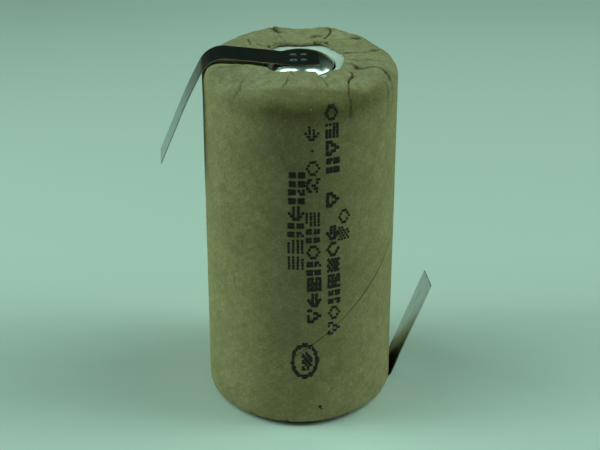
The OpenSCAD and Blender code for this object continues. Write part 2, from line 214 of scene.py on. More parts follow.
# Creases of the top: points of (unrolled radius, angle), half width, depth, raised edge
CREASES = [
    ([(12.6, 108.6), (11.38, 107.1), (10.4, 105.0)], 0.20, 0.30, 0.10),
    ([(12.9, 112.0), (11.9, 110.0), (11.2, 108.0)], 0.12, 0.12, 0.05),
    ([(8.6, 80.0), (9.24, 75.7), (9.55, 71.4)], 0.17, 0.22, 0.08),
    ([(8.9, 77.6), (9.3, 74.0)], 0.26, 0.12, 0.0),
    ([(8.35, 67.0), (9.83, 67.4), (11.11, 67.8), (11.75, 69.6), (11.55, 72.5)],
     0.13, 0.24, 0.10),
    ([(10.5, 48.6), (11.4, 47.8), (11.32, 43.0)], 0.20, 0.24, 0.08),
    ([(6.3, 25.6), (7.96, 22.9), (9.2, 20.6), (9.9, 20.3), (10.55, 23.4), (11.0, 21.2),
      (12.1, 21.0)], 0.11, 0.20, 0.07),
    ([(9.7, 20.0), (10.2, 22.4)], 0.22, 0.14, 0.0),
    ([(6.2, 353.6), (6.99, 350.2), (7.74, 344.4), (8.63, 343.8), (9.75, 350.4),
      (10.89, 349.2), (11.78, 343.5), (12.9, 338.6)], 0.13, 0.24, 0.09),
    ([(6.66, 355.6), (7.32, 351.4), (7.94, 345.3)], 0.14, 0.22, 0.05),
    ([(7.3, 332.0), (7.9, 329.0), (8.39, 324.8), (8.76, 316.0), (9.4, 311.5)],
     0.13, 0.22, 0.08),
    ([(9.4, 311.5), (10.53, 306.4), (12.01, 301.2), (13.8, 299.6), (15.4, 299.8)],
     0.10, 0.13, 0.04),
    ([(6.5, 256.4), (7.3, 257.4), (8.0, 255.4), (8.9, 255.6)], 0.10, 0.10, 0.04),
    ([(9.6, 220.8), (10.4, 223.6), (11.0, 226.3), (11.47, 228.2), (12.42, 229.7),
      (13.4, 229.2)], 0.10, 0.08, 0.04),
    ([(5.9, 296.4), (6.7, 294.3), (7.8, 295.4), (8.9, 294.0)], 0.10, 0.11, 0.03),
    ([(4.9, 254.7), (5.7, 263.0)], 0.09, 0.08, 0.02),
    ([(10.54, 131.9), (9.01, 137.6)], 0.12, 0.12, 0.04),
    ([(6.2, 128.0), (7.2, 133.0), (8.6, 133.5)], 0.10, 0.12, 0.03),
    ([(11.87, 334.0), (13.91, 331.3), (15.6, 331.8), (17.4, 331.0)], 0.12, 0.08, 0.03),
    ([(12.2, 339.0), (13.6, 337.6), (16.0, 338.6)], 0.10, 0.06, 0.02),
    ([(6.6, 6.0), (7.7, 3.0), (9.0, 5.0), (10.8, 2.0)], 0.09, 0.09, 0.03),
    ([(5.4, 206.0), (7.4, 203.0), (9.6, 205.6), (11.6, 203.0)], 0.10, 0.10, 0.04),
    ([(5.6, 158.0), (7.8, 161.0), (10.0, 158.4), (12.2, 160.5)], 0.11, 0.13, 0.05),
    ([(11.7, 107.6), (11.2, 106.6)], 0.36, 0.34, 0.05),
    ([(8.9, 77.4), (9.4, 75.0)], 0.34, 0.32, 0.05),
    ([(11.45, 48.0), (11.15, 46.0)], 0.38, 0.34, 0.05),
    ([(10.5, 22.8), (10.85, 20.6)], 0.36, 0.36, 0.05),
    ([(7.5, 345.6), (8.1, 343.0)], 0.32, 0.36, 0.07),
    ([(8.35, 325.6), (8.6, 319.0)], 0.17, 0.22, 0.05),
    ([(6.2, 131.0), (6.9, 128.0)], 0.24, 0.26, 0.05),
    ([(6.35, 126.0), (6.75, 118.0), (6.65, 108.0)], 0.20, 0.12, 0.03),
    ([(7.15, 72.0), (7.25, 64.0), (6.95, 55.0)], 0.20, 0.12, 0.03),
    ([(7.0, 60.5), (7.7, 61.5)], 0.16, 0.18, 0.04),
    ([(6.5, 72.5), (7.1, 73.5)], 0.17, 0.20, 0.04),
]

# Creases of the lower lip: zigzags at (angle, sideways swing), laid out as above
FOOT_CREASES = [
    ([(7.0, a), (8.6, a + swing), (10.4, a - swing), (12.4, a + 0.4 * swing), (13.4, a)],
     0.14, 0.14, 0.05)
    for a, swing in ((24, 2.0), (61, -2.4), (98, 1.6), (141, -1.8), (176, 2.2), (214, -1.4),
                     (239, 1.2), (262, 1.8), (301, -1.6), (333, 2.1))]


# ------------------------------------------------------------------ sleeve shape
def seam_angle(z):
    return SEAM_THETA + (np.clip(z, FOOT_Z, SHOULDER_Z) - SEAM_Z) / SEAM_RISE


def crease_field(rho, theta, creases):
    """Normal shift in mm of a family of creases, and the painted shade in them."""
    turn = np.radians(theta)
    x, y = rho * np.cos(turn), rho * np.sin(turn)
    shift = np.zeros_like(x)
    dark = np.zeros_like(x)
    reach = 1.2
    for places, half_width, depth, raised in creases:
        line = np.array([(r * math.cos(math.radians(a)), r * math.sin(math.radians(a)))
                         for r, a in places])
        lo, hi = line.min(0) - reach, line.max(0) + reach
        near = (x > lo[0]) & (x < hi[0]) & (y > lo[1]) & (y < hi[1])
        if not near.any():
            continue
        px, py = x[near], y[near]
        best = np.full(px.shape, 9.0)
        side = np.zeros(px.shape)
        along = np.zeros(px.shape)
        done = 0.0
        lengths = np.hypot(*(line[1:] - line[:-1]).T)
        for start, step, length in zip(line[:-1], line[1:] - line[:-1], lengths):
            t = ((px - start[0]) * step[0] + (py - start[1]) * step[1]) / (step @ step)
            t = np.clip(t, 0, 1)
            ex, ey = px - start[0] - t * step[0], py - start[1] - t * step[1]
            distance = np.hypot(ex, ey)
            closer = distance < best
            best = np.where(closer, distance, best)
            side = np.where(closer, np.sign(step[0] * ey - step[1] * ex), side)
            along = np.where(closer, (done + t * length) / lengths.sum(), along)
            done += length
        fade = np.clip(np.minimum(along, 1 - along) * 6 + 0.35, 0, 1)
        wobble = 1 + 0.35 * noise(px * 2.1 + 40, py * 2.1 + 40, seed=5)
        groove = bell(best, 1.12 * half_width * wobble)
        ridge = bell(best - 2.2 * half_width, 1.3 * half_width) * np.where(side > 0, 1.0, 0.25)
        shift[near] += fade * (-1.15 * depth * groove + raised * ridge)
        dark[near] = np.maximum(dark[near], fade * groove * min(1.25, depth / 0.15))
    return shift, dark


def pleats(theta):
    """Saw-toothed steps of the overlapping folds, in -0.5..0.5."""
    marks = np.array(TOP_PLEATS, float)
    t = np.mod(theta, 360)
    i = np.searchsorted(marks, t) - 1
    start = np.where(i < 0, marks[i] - 360, marks[i])
    end = marks[(i + 1) % len(marks)]
    end = np.where(end <= start, end + 360, end)
    share = np.clip((t - start) / (end - start), 0, 1)
    edge = np.minimum(share, (1 - share) * (end - start) / 2.0)
    return (share - 0.5) * np.clip(edge * 8, 0, 1)


def arc_rows(kind, degrees, centre_r, centre_z, radius, facing=1):
    rows = []
    for a in np.radians(degrees):
        c, s = math.cos(a), math.sin(a)
        rows.append((kind, centre_r + radius * c, centre_z + radius * s, facing * c, facing * s))
    return rows


def sleeve_rows():
    """Rows of the closed section as (kind, place, z, normal r, normal z).

    The place is a radius, but on the lips the share of the way in to the opening, and on the
    edge the degrees turned round it. Kinds named in_ belong to the inner skin.
    """
    rows = [("foot_lip", r, 0.0, 0.0, -1.0) for r in np.linspace(FOOT_HOLE_R, FOOT_C, 8)[:-1]]
    rows += arc_rows("foot", np.linspace(-90, 0, 9)[:-1], FOOT_C, FOOT_Z, FOOT_R)
    wrinkled_z = 43.4    # rows are closer together above this height
    for low, high, count in ((FOOT_Z, wrinkled_z, 48), (wrinkled_z, SHOULDER_Z, 26)):
        rows += [("wall", SLEEVE_R, z, 1.0, 0.0) for z in np.linspace(low, high, count)[:-1]]
    rows += arc_rows("shoulder", np.linspace(0, 90, 22)[:-1],
                     SHOULDER_C, SHOULDER_Z, SHOULDER_R)
    rows += [("lip", share, LIP_Z, 0.0, 1.0) for share in np.linspace(0, 1, 48)]
    rows += [("edge", a, LIP_Z, 0.0, 1.0) for a in (25, 60, 100, 140)]
    rows += [("in_lip", share, LIP_Z - PAPER_T, 0.0, -1.0)
             for share in np.linspace(1, 0, 9)[:-1]]
    rows += arc_rows("in_shoulder", np.linspace(90, 0, 5)[:-1],
                     SHOULDER_C, SHOULDER_Z, SHOULDER_R - PAPER_T, facing=-1)
    rows += [("in_wall", SLEEVE_R - PAPER_T, z, -1.0, 0.0)
             for z in np.linspace(SHOULDER_Z, FOOT_Z, 24)[:-1]]
    rows += arc_rows("in_foot", np.linspace(0, -90, 4)[:-1],
                     FOOT_C, FOOT_Z, FOOT_R - PAPER_T, facing=-1)
    rows += [("in_foot_lip", r, PAPER_T, 0.0, 1.0) for r in np.linspace(FOOT_C, FOOT_HOLE_R, 5)]
    return rows


def sleeve_columns():
    """Degrees from the outer seam, with extra columns beside it."""
    beside = np.array([SEAM_HALF * 0.55, SEAM_HALF, 0.7, 1.05])
    return np.concatenate([[0.0], beside, np.linspace(1.6, 358.4, 476), 360 - beside[::-1]])


def place_row(kind, place, z, theta):
    """Radius and height of a row, and its distance from the axis unrolled over the edges."""
    height = np.full(len(theta), float(z))
    if kind in LIPS:
        hole = ring_interp(theta + 0.5 * ring_noise(theta, 40, 0.0, seed=41), OPENING)
        hole = hole + 0.06 * ring_noise(theta, 120, 0.5, seed=42)
        if kind == "edge":
            turn = math.radians(place)
            radius = hole - 0.10 * math.sin(turn)
            height = height - PAPER_T / 2 + PAPER_T / 2 * math.cos(turn)
        else:
            radius = SHOULDER_C + (hole - SHOULDER_C) * place
        return radius, height, radius
    unrolled = place
    if kind in ("shoulder", "in_shoulder"):
        unrolled = SHOULDER_C + SHOULDER_R * math.atan2(place - SHOULDER_C, z - SHOULDER_Z)
    elif kind in WALLS:
        unrolled = SHOULDER_C + SHOULDER_R * math.pi / 2 + SHOULDER_Z - z
    elif kind == "foot":
        unrolled = FOOT_C + FOOT_R * math.atan2(place - FOOT_C, FOOT_Z - z)
    return np.full(len(theta), float(place)), height, np.full(len(theta), float(unrolled))


# Height of the fold beside the positive tab against the distance from the axis towards -X
TAB_FOLD_X = [3.9, 4.9, 6.2, 8.0, 10.0, 12.0, 12.9, 13.3]
TAB_FOLD_RISE = [0.0, 0.34, 0.82, 1.10, 1.20, 1.16, 0.72, 0.0]


def fold_end(kind, theta, rho, radius, height):
    """Large shape of the folded top end, the same for both skins."""
    on_wall = kind in WALLS
    lean = math.radians(62)
    out, up = (0.47, 0.3) if on_wall else (math.cos(lean), math.sin(lean))
    bulge = ring_interp(theta, SHOULDER_BULGE) * bell(rho - 12.35, 1.25)
    sag = ring_interp(theta, SHOULDER_SAG) * smooth(8.6, 11.9, rho) * smooth(15.4, 12.6, rho)
    radius = radius + bulge * out - 0.25 * sag
    height = height + bulge * up - sag
    if on_wall:
        return radius, height
    height = height + ring_interp(theta, LIP_RISE) * smooth(9.8, 5.2, rho)
    # the fold stands up against the front side of the positive tab
    turn = np.radians(theta)
    x, y = radius * np.cos(turn), radius * np.sin(turn)
    off = y + 2.78 + 0.089 * np.abs(x)
    rise = np.interp(-x, TAB_FOLD_X, TAB_FOLD_RISE)
    rise = rise * (1 + 0.10 * noise(x / 1.3 + 40, 0.0, seed=33))
    return radius, height + rise * bell(off, np.where(off > 0, 0.55, 2.3))


def wall_shift(theta, z):
    """Slow unevenness of the wall, away from the seams."""
    return (0.030 * ring_noise(theta, 7, z / 9.0, seed=11)
            + 0.016 * ring_noise(theta, 17, z / 4.1, seed=12)
            + 0.007 * ring_noise(theta, 60, z / 1.3, seed=13))


def skin_shift(kind, z, theta, rho):
    """Small shift of the outer skin along its normal, and the painted shade in its creases."""
    shift = wall_shift(theta, z)
    if kind in FEET:
        creased, dark = crease_field(rho, theta, FOOT_CREASES)
        return shift * 0.3 + creased, dark
    if kind == "wall" and z <= 42:
        return shift, np.zeros_like(theta)
    creased, dark = crease_field(rho, theta, CREASES)
    # upright wrinkles under the shoulder, pressed in as the end was folded
    near_shoulder = bell(rho - 13.0, 1.9)
    x = np.mod(theta, 360) / 360 * 110 + 0.35 * ring_noise(theta, 9, rho / 3, seed=3)
    shift = shift + creased + 0.030 * near_shoulder * noise(x, rho / 3.2, seed=21, wrap=110)
    shift = shift + 0.028 * near_shoulder * ring_noise(theta, 41, rho / 5.0, seed=22)
    if kind == "wall":
        return shift, dark
    inward = smooth(15.2, 12.2, rho)
    shift = shift + 0.12 * inward * pleats(theta + 0.6 * ring_noise(theta, 30, rho / 2.0, seed=31))
    shift = shift + inward * (0.035 * ring_noise(theta, 26, rho / 1.7, seed=23)
                              + 0.022 * ring_noise(theta, 70, rho / 0.8, seed=24))
    if kind == "edge":
        shift = shift * 0.6
    if kind in ("lip", "edge"):
        shift = np.maximum(shift, -0.22)
    return shift, dark


def seam_shift(kind, z, phi):
    """Normal shift at both seams, and darkness of the outer and of the hidden one."""
    off = np.minimum(phi, 360 - phi)
    strength = 0.45 if kind in ("lip", "edge") else 0.10 + 0.90 * smooth(8.5, 15.5, z)
    depth = 0.15 if kind in ("wall", "foot") else 0.05
    groove = np.where(off < SEAM_HALF * 0.8, 1.0, 0.0)
    broad = np.zeros_like(phi)
    if kind == "wall":
        broad = np.where((off >= SEAM_HALF * 0.8) & (off < 0.8), smooth(16.0, 22.0, z), 0.0)
    # a narrow butt groove, with one side standing a little higher
    shift = -depth * strength * groove
    shift = shift + 0.030 * strength * np.where(phi > 180, np.exp(-off / 2.6), 0)
    shift = shift - 0.012 * bell(off, 1.2) - 0.09 * broad * strength
    # seam of the ply underneath, showing through half a turn away
    behind = phi - 180
    shift = shift - 0.024 * bell(behind, 1.3) + 0.016 * np.tanh(behind / 0.9) * bell(behind, 7)
    hidden = 0.16 * bell(behind, 1.1) * (1 if kind == "wall" else 0.3)
    return shift, np.maximum(groove, 0.85 * broad) * strength, hidden


def wear_and_painted_shade(theta, rho, y):
    """Wear, paler where the folds are rubbed, and painted shade, darker on the front where the lip
    rolls down over the shoulder.
    """
    front = ring_interp(theta, FRONT)
    wear = smooth(13.8 - 2.3 * front, 11.2 - 1.9 * front, rho)
    wear = wear * (0.78 + 0.22 * ring_noise(theta, 40, rho / 1.5, seed=51))
    patches = noise(np.mod(theta, 360) / 7.0, rho / 2.5, seed=53, wrap=52)
    wear = wear + ring_interp(theta, FLANKS) * smooth(18.5, 12.5, rho) * (0.55 + 0.45 * patches)
    band = bell(rho - (11.0 - 1.4 * front), 0.9)
    wear = wear + 0.55 * band * smooth(-0.1, 0.7, ring_noise(theta, 30, 0.3, seed=52))
    down = np.maximum(smooth(-7.8, -9.6, y), smooth(11.6, 12.6, rho))
    return wear, front * down * (1 - 0.95 * smooth(13.2, 16.8, rho))


def press_over_negative_tab(x, y, height):
    """Thins the lower lip where the negative tab passes under it."""
    c, s = math.cos(math.radians(NEG_AZ)), math.sin(math.radians(NEG_AZ))
    along = x * c + y * s
    across = -x * s + y * c - NEG_SHIFT
    return np.maximum(height, 0.185 * (along > 4) * smooth(2.62, 2.40, np.abs(across)))


def build_sleeve():
    phi = sleeve_columns()
    rows = sleeve_rows()
    grid = (len(rows), len(phi))
    points = np.zeros(grid + (3,))
    layers = {"paper": np.zeros(grid + (3,))}
    for name in ("shade_and_under_seam", "seam", "lip", "wear", "shade"):
        layers[name] = np.zeros(grid)
    winding = math.atan(SEAM_RISE / (SLEEVE_R * math.pi / 180))
    path_at = {"foot": 0.5, "shoulder": SHOULDER_Z, "edge": SHOULDER_Z + 8}
    for i, (kind, place, z, normal_r, normal_z) in enumerate(rows):
        wall_z = z if kind in WALLS else (SHOULDER_Z if z > 25 else FOOT_Z)
        theta = phi + seam_angle(wall_z)
        radius, height, rho = place_row(kind, place, z, theta)
        if kind in LIPS + ("shoulder", "in_shoulder") or (kind in WALLS and z > 43):
            radius, height = fold_end(kind, theta, rho, radius, height)
        if kind in FEET + TOP_OUTER + ("wall",):
            shift, dark = skin_shift(kind, wall_z, theta, rho)
            seam, layers["seam"][i], hidden = seam_shift(kind, wall_z, phi)
            # painted shade in the creases, and the line of the seam underneath
            layers["shade_and_under_seam"][i] = np.maximum(dark, hidden)
            radius = radius + normal_r * (shift + seam)
            height = height + normal_z * (shift + seam)
        turn = np.radians(theta)
        x, y = radius * np.cos(turn), radius * np.sin(turn)
        if kind in FEET:
            height = press_over_negative_tab(x, y, height)
        points[i] = np.stack([x, y, height], -1)

        # flat coordinates of the paper, turned so that x runs along the winding
        path = path_at.get(kind, z)
        if kind == "foot_lip":
            path = place - SLEEVE_R
        elif kind == "lip":
            path = SHOULDER_Z + 2.5 + (SHOULDER_C - radius)
        arc = SLEEVE_R * np.radians(theta - SEAM_THETA)
        paper = layers["paper"][i]
        paper[:, 0] = arc * math.cos(winding) + path * math.sin(winding)
        paper[:, 1] = -arc * math.sin(winding) + path * math.cos(winding)
        paper[:, 2] = 50.0 if kind.startswith("in_") else 0.0

        if kind in TOP_OUTER + ("wall",):
            # wear, and painted shade on the front of the top end
            layers["wear"][i], layers["shade"][i] = wear_and_painted_shade(theta, rho, y)
        if kind in FEET or (kind == "wall" and z < 2.0):
            # painted shade round the bottom of the foot at the front, darkest where it meets the
            # floor
            rim_shade = 0.80 * ring_interp(theta, FOOT_FRONT_SHADE) * smooth(0.52, 0.22, height)
            layers["shade_and_under_seam"][i] = np.maximum(layers["shade_and_under_seam"][i], rim_shade)
        if kind in LIPS + ("foot_lip", "in_foot_lip"):
            layers["lip"][i] = 1.0
        elif kind in ("shoulder", "foot"):
            layers["lip"][i] = 0.5
    made = make_object("kraft_sleeve", points.reshape(-1, 3), grid_faces(*grid))
    for name, values in layers.items():
        set_attribute(made.data, name, values)
    return made


sleeve = build_sleeve()

# ------------------------------------------------------------------ print
# Dot patterns of the printed marks, seven rows of five
GLYPHS = {
    "dia": ("..#..", ".#.#.", "#...#", "#...#", "#...#", ".#.#.", "..#.."),
    "arrow": ("..#..", "...#.", "#####", "....#", "#####", "...#.", "..#.."),
    "bars": ("#####", ".....", "#####", ".....", "#####", ".....", "#####"),
    "tri": ("..#..", "..#..", ".#.#.", ".#.#.", "#...#", "#...#", "#####"),
    "check": ("#.#.#", ".#.#.", "#.#.#", ".#.#.", "#.#.#", ".#.#.", "#.#.#"),
    "pairs": ("##.##", "##.##", "##.##", ".....", "##.##", "##.##", "##.##"),
    "chev": ("#...#", "##.##", ".###.", "..#..", "#...#", "##.##", ".###."),
    "tile": ("#####", "#.#.#", "#####", "#.#.#", "#####", "#.#.#", "#####"),
    "dot": (".....", ".....", ".....", "..#..", ".....", ".....", "....."),
}
# Angle of the baseline side, angle of the far side, height of the first mark's top,
# slant in degrees for each mm, marks from the top down
PRINT_COLUMNS = [
    (285.15, 291.45, 48.75, 0.088,
     ["dia", "bars", "tri", "pairs", None, "tri", None, "arrow", "dia", "check", "tile",
      "pairs", "dia", "tri"]),
    (273.1, 280.1, 46.1, 0.075,
     ["arrow", "dot", "dia", "chev", None, "bars", "pairs", "dia", "pairs", "tile", "arrow",
      "tri"]),
    (264.5, 272.4, 39.6, -0.04, ["pairs", "pairs", "arrow", "pairs", "bars", "bars"]),
    (293.6, 299.7, 33.6, 0.0, ["dia", "check"]),
]
MARK_PITCH = 2.47       # from one mark's top to the next
DOT_PITCH = 0.425
DOT_SIDES = 10
DOT_RINGS = ((1.0, -0.02), (0.94, 0.022), (0.6, 0.034))    # share of the radius, height
# Worn round emblem: centre, half size in degrees and in mm, dots each way
EMBLEM_THETA, EMBLEM_Z = 273.1, 10.75
EMBLEM_HALF_TURN, EMBLEM_HALF_Z = 9.0, 3.1
EMBLEM_DOTS = 19


def shoulder_radius(z):
    return SHOULDER_C + math.sqrt(max(SHOULDER_R ** 2 - (z - SHOULDER_Z) ** 2, 0.01))


def add_dot(points, faces, theta, z, half_width, half_height, number):
    """Thin round pad of ink that follows the wall; its number sets how it strays."""
    base = len(points)
    stray = 0.012 * math.sin(number * 12.9898) + 0.008 * math.cos(number * 3.7)
    theta = theta + math.degrees(stray * 2 / SLEEVE_R)
    z = z + 0.012 * math.sin(number * 78.233) * 2
    size = 1 + 0.13 * math.sin(number * 37.719)
    if z > SHOULDER_Z:
        wall = shoulder_radius(z)
    else:
        wall = SLEEVE_R + float(wall_shift(theta, z))
    for share, lift in DOT_RINGS:
        for i in range(DOT_SIDES):
            a = 2 * math.pi * i / DOT_SIDES
            turn = math.radians(theta) + half_width * size * share * math.cos(a) / SLEEVE_R
            dot_z = z + half_height * size * share * math.sin(a)
            r = (shoulder_radius(dot_z) if dot_z > SHOULDER_Z else wall) + lift
            points.append((r * math.cos(turn), r * math.sin(turn), dot_z))
    for ring in range(2):
        low = base + ring * DOT_SIDES
        high = low + DOT_SIDES
        for i in range(DOT_SIDES):
            j = (i + 1) % DOT_SIDES
            faces.append((low + i, low + j, high + j, high + i))
    faces.append(tuple(base + 2 * DOT_SIDES + i for i in range(DOT_SIDES)))
    faces.append(tuple(base + i for i in reversed(range(DOT_SIDES))))


def build_print():
    points, faces = [], []
    number = 0
    for near_side, far_side, top, slant, names in PRINT_COLUMNS:
        for name in names:
            # rows of a mark run from the far side to the baseline side; a few dots are lost
            for row, cells in enumerate(GLYPHS[name] if name else ()):
                for col, cell in enumerate(cells):
                    if cell != "#":
                        continue
                    number += 1
                    if math.sin(number * 91.7) > 0.985:
                        continue
                    theta = far_side - (far_side - near_side) * (row / 6.0)
                    theta += 0.25 * math.sin(top * 0.35) + (48 - top) * slant
                    add_dot(points, faces, theta, top - 0.17 - col * DOT_PITCH,
                            0.215, 0.250, number)
            top -= MARK_PITCH
    # emblem: a ring of dots round a part-filled patch
    last = EMBLEM_DOTS - 1
    for i in range(EMBLEM_DOTS):
        for j in range(EMBLEM_DOTS):
            u, v = i / last * 2 - 1, j / last * 2 - 1
            distance = math.hypot(u, v)
            in_ring = abs(distance - 0.82) < 0.085
            in_patch = distance < 0.50 and v > -0.20 and (i * 2 + j) % 3 != 0
            if not (in_ring or in_patch):
                continue
            number += 1
            if math.sin(number * 57.3) > 0.975:
                continue
            add_dot(points, faces, EMBLEM_THETA + v * EMBLEM_HALF_TURN,
                    EMBLEM_Z - u * EMBLEM_HALF_Z, 0.225, 0.225, number)
    # stray ink near the base
    add_dot(points, faces, 282.6, 2.95, 0.28, 0.24, 7)
    add_dot(points, faces, 283.7, 2.6, 0.13, 0.12, 9)
    return make_object("print_marks", points, faces)


marks = build_print()

# ------------------------------------------------------------------ strips
STRIP_HALF_W = 2.2
STRIP_HALF_T = 0.075
CUT = 0.025             # length of the rounded edge at a cut end
# Strip paths are lists of (distance from the axis, height, direction in degrees)


def unit(degrees):
    return np.array([math.cos(math.radians(degrees)), math.sin(math.radians(degrees))])


def bend(corner, start, end, radius, steps):
    """Arc that rounds a corner between two directions."""
    side = math.copysign(1, end - start)
    back = radius * math.tan(math.radians(abs(end - start)) / 2)
    centre = np.array(corner, float) - back * unit(start) + side * radius * unit(start + 90)
    out = []
    for i in range(steps + 1):
        a = start + (end - start) * i / steps
        x, z = centre + radius * unit(a - 90 * side)
        out.append((x, z, a))
    return out


def strip_path(start, z, middle, tip, direction, step):
    """Whole path with its cut ends, and points added to the straight runs."""
    inner = tip - CUT * unit(direction)
    path = [(start, z, 0.0), (start + CUT, z, 0.0)] + middle
    path += [(*inner, direction), (*tip, direction)]
    out = [path[0]]
    for p, q in zip(path[:-1], path[1:]):
        count = max(1, int(math.hypot(q[0] - p[0], q[1] - p[1]) / step))
        turn = q[2] - p[2] if abs(q[2] - p[2]) < 5 else 0
        for i in range(1, count):
            f = i / count
            out.append((p[0] + (q[0] - p[0]) * f, p[1] + (q[1] - p[1]) * f, p[2] + turn * f))
        out.append(q)
    return out


def strip_section():
    """Points (across, thickness) round the strip, and the count along one face."""
    w, t = STRIP_HALF_W, STRIP_HALF_T
    across = np.concatenate([[-w + 0.015, -w + 0.05], np.linspace(-w + 0.15, w - 0.15, 27),
                             [w - 0.05, w - 0.015]])
    ring = [(v, t) for v in across] + [(w, 0.055), (w, 0.0), (w, -0.055)]
    ring += [(v, -t) for v in across[::-1]] + [(-w, -0.055), (-w, 0.0), (-w, 0.055)]
    return np.array(ring), len(across)


def strip_faces(rows, ring, face_points):
    faces = []
    for i in range(rows - 1):
        for j in range(ring):
            k = (j + 1) % ring
            faces.append((i * ring + j, (i + 1) * ring + j, (i + 1) * ring + k, i * ring + k))
    # end caps: quads across the thickness, closed by a five-sided face at each edge
    under = face_points + 3
    for first, order in ((0, 1), ((rows - 1) * ring, -1)):
        last = first + under + face_points - 1
        cap = [(first + j, first + j + 1, last - j - 1, last - j)
               for j in range(face_points - 1)]
        cap.append(tuple(first + face_points - 1 + j for j in range(5)))
        cap.append((last, last + 1, last + 2, last + 3, first))
        faces += [face[::order] for face in cap]
    return faces


def build_strip(name, path, azimuth, shift, welds, seed, side, shade_paint=None):
    """Flat strip along a path.

    welds: (distance, across, radius) of each weld, on the face that side (1 or -1) picks.
    Last argument, painted shade along the strip: (length where it is full, length where it ends,
    strength), and faint beyond.
    """
    ring, face_points = strip_section()
    grid = (len(path), len(ring))
    points = np.zeros(grid + (3,))
    strip = np.zeros(grid + (3,))
    weld = np.zeros(grid)
    strip_shade = np.zeros(grid)
    steps = [math.hypot(b[0] - a[0], b[1] - a[1]) for a, b in zip(path[:-1], path[1:])]
    lengths = np.concatenate([[0], np.cumsum(steps)])
    c, s = math.cos(math.radians(azimuth)), math.sin(math.radians(azimuth))
    for i, ((u, z, direction), length) in enumerate(zip(path, lengths)):
        across, thick = ring[:, 0].copy(), ring[:, 1].copy()
        # the ends are cut with shears: edges a little rounded
        from_end = min(length, lengths[-1] - length)
        if from_end < 0.03:
            across = across * 0.993
            thick = thick * 0.72
        sign = np.sign(across)
        ragged = noise(length / 1.7, sign * 3.0 + 7, seed)
        across = across + sign * 0.010 * ragged * (np.abs(across) > 2)
        welded = side * thick > 0
        dent = np.zeros(across.shape)
        for weld_u, weld_v, weld_r in welds:
            q = np.hypot(u - weld_u, across - weld_v) / weld_r
            dent += np.where(welded, -0.055 * np.exp(-(q / 0.62) ** 4)
                             + 0.030 * bell(q - 1.05, 0.30), 0)
            arc = np.clip(0.5 - 0.9 * (across - weld_v) / weld_r * side, 0, 1)
            weld[i] = np.maximum(weld[i], bell(q - 0.80, 0.30) * arc * welded)
        # slight dish across the width and a long wave, both faces together
        wave = 0.010 * noise(length / 3.1, across / 2.4 + 9, seed + 1) * min(1.0, from_end / 0.5)
        lift = thick + wave + dent
        normal = (-math.sin(math.radians(direction)), math.cos(math.radians(direction)))
        out, sideways = u + normal[0] * lift, across + shift
        points[i] = np.stack([out * c - sideways * s, out * s + sideways * c,
                              z + normal[1] * lift], -1)
        strip[i] = np.stack([np.full(across.shape, length), across, thick * 10], -1)
    if shade_paint is not None:
        # painted shade: full up to one length, fading out by the other, faint beyond
        full, clear, strength = shade_paint
        strip_shade[:] = np.maximum(strength * smooth(clear, full, lengths), 0.13)[:, None]
    made = make_object(name, points.reshape(-1, 3), strip_faces(*grid, face_points))
    for layer, values in (("strip", strip), ("weld", weld), ("strip_shade", strip_shade)):
        set_attribute(made.data, layer, values)
    # the strip is left as the active object, with its long edges crisp
    bpy.context.view_layer.objects.active = made
    made.data.set_sharp_from_angle(angle=math.radians(50))
    return made


# Positive strip: over the cap, rising gently outwards, then down the -X side
POS_Z = 49.85 + STRIP_HALF_T
POS_RISE_START = 1.2
POS_SLOPE, POS_LEG = 8.1, -67.6          # directions of the rise and of the leg
POS_CORNER_X = 12.53
pos_corner = np.array([
    POS_CORNER_X,
    POS_Z + (POS_CORNER_X - POS_RISE_START) * math.tan(math.radians(POS_SLOPE))])
LEG_BOW, LEG_BOW_RUN = 0.60, 9.0         # how far the leg curves, and over what length


def eased_leg(length):
    """Point of the leg below the bend, which keeps a slight curve."""
    k = max(0.0, 1 - length / LEG_BOW_RUN)
    x, z = pos_corner + length * unit(POS_LEG) + LEG_BOW * k * k * unit(POS_LEG - 90)
    return x, z, POS_LEG + math.degrees(math.atan(2 * LEG_BOW / LEG_BOW_RUN * k))


pos_bend = bend((11.95, pos_corner[1] - 0.083), POS_SLOPE, eased_leg(2.5)[2],
                radius=3.3, steps=30)
pos_path = strip_path(
    start=-2.4, z=POS_Z,
    middle=(bend((POS_RISE_START, POS_Z), 0, POS_SLOPE, radius=3.0, steps=6) + pos_bend
            + [eased_leg(v) for v in np.linspace(2.6, LEG_BOW_RUN, 12)]),
    tip=pos_corner + 16.5 * unit(POS_LEG), direction=POS_LEG, step=0.11)
pos_strip = build_strip(
    "positive_tab_strip", pos_path, POS_AZ, POS_SHIFT,
    welds=[(0.84, -1.02, 0.46), (-0.56, -0.96, 0.40), (0.90, 0.86, 0.48), (-0.46, 0.84, 0.40)],
    seed=61, side=1)

# Negative strip: under the base, a step down to the floor, then up the +X side
NEG_BASE_Z = 0.36 - STRIP_HALF_T
NEG_STEP_START, NEG_STEP_END = 6.1, 6.7
NEG_LEG = 69.3
neg_corner = np.array([12.9, STRIP_HALF_T])
step_slope = math.degrees(math.atan2(STRIP_HALF_T - NEG_BASE_Z, NEG_STEP_END - NEG_STEP_START))
neg_bend = bend(neg_corner, 0, NEG_LEG, radius=0.8, steps=24)
neg_path = strip_path(
    start=-4.0, z=NEG_BASE_Z,
    middle=(bend((NEG_STEP_START, NEG_BASE_Z), 0, step_slope, radius=0.3, steps=4)
            + bend((NEG_STEP_END, STRIP_HALF_T), step_slope, 0, radius=0.3, steps=4)
            + neg_bend),
    tip=neg_corner + 15.9 * unit(NEG_LEG), direction=NEG_LEG, step=0.13)
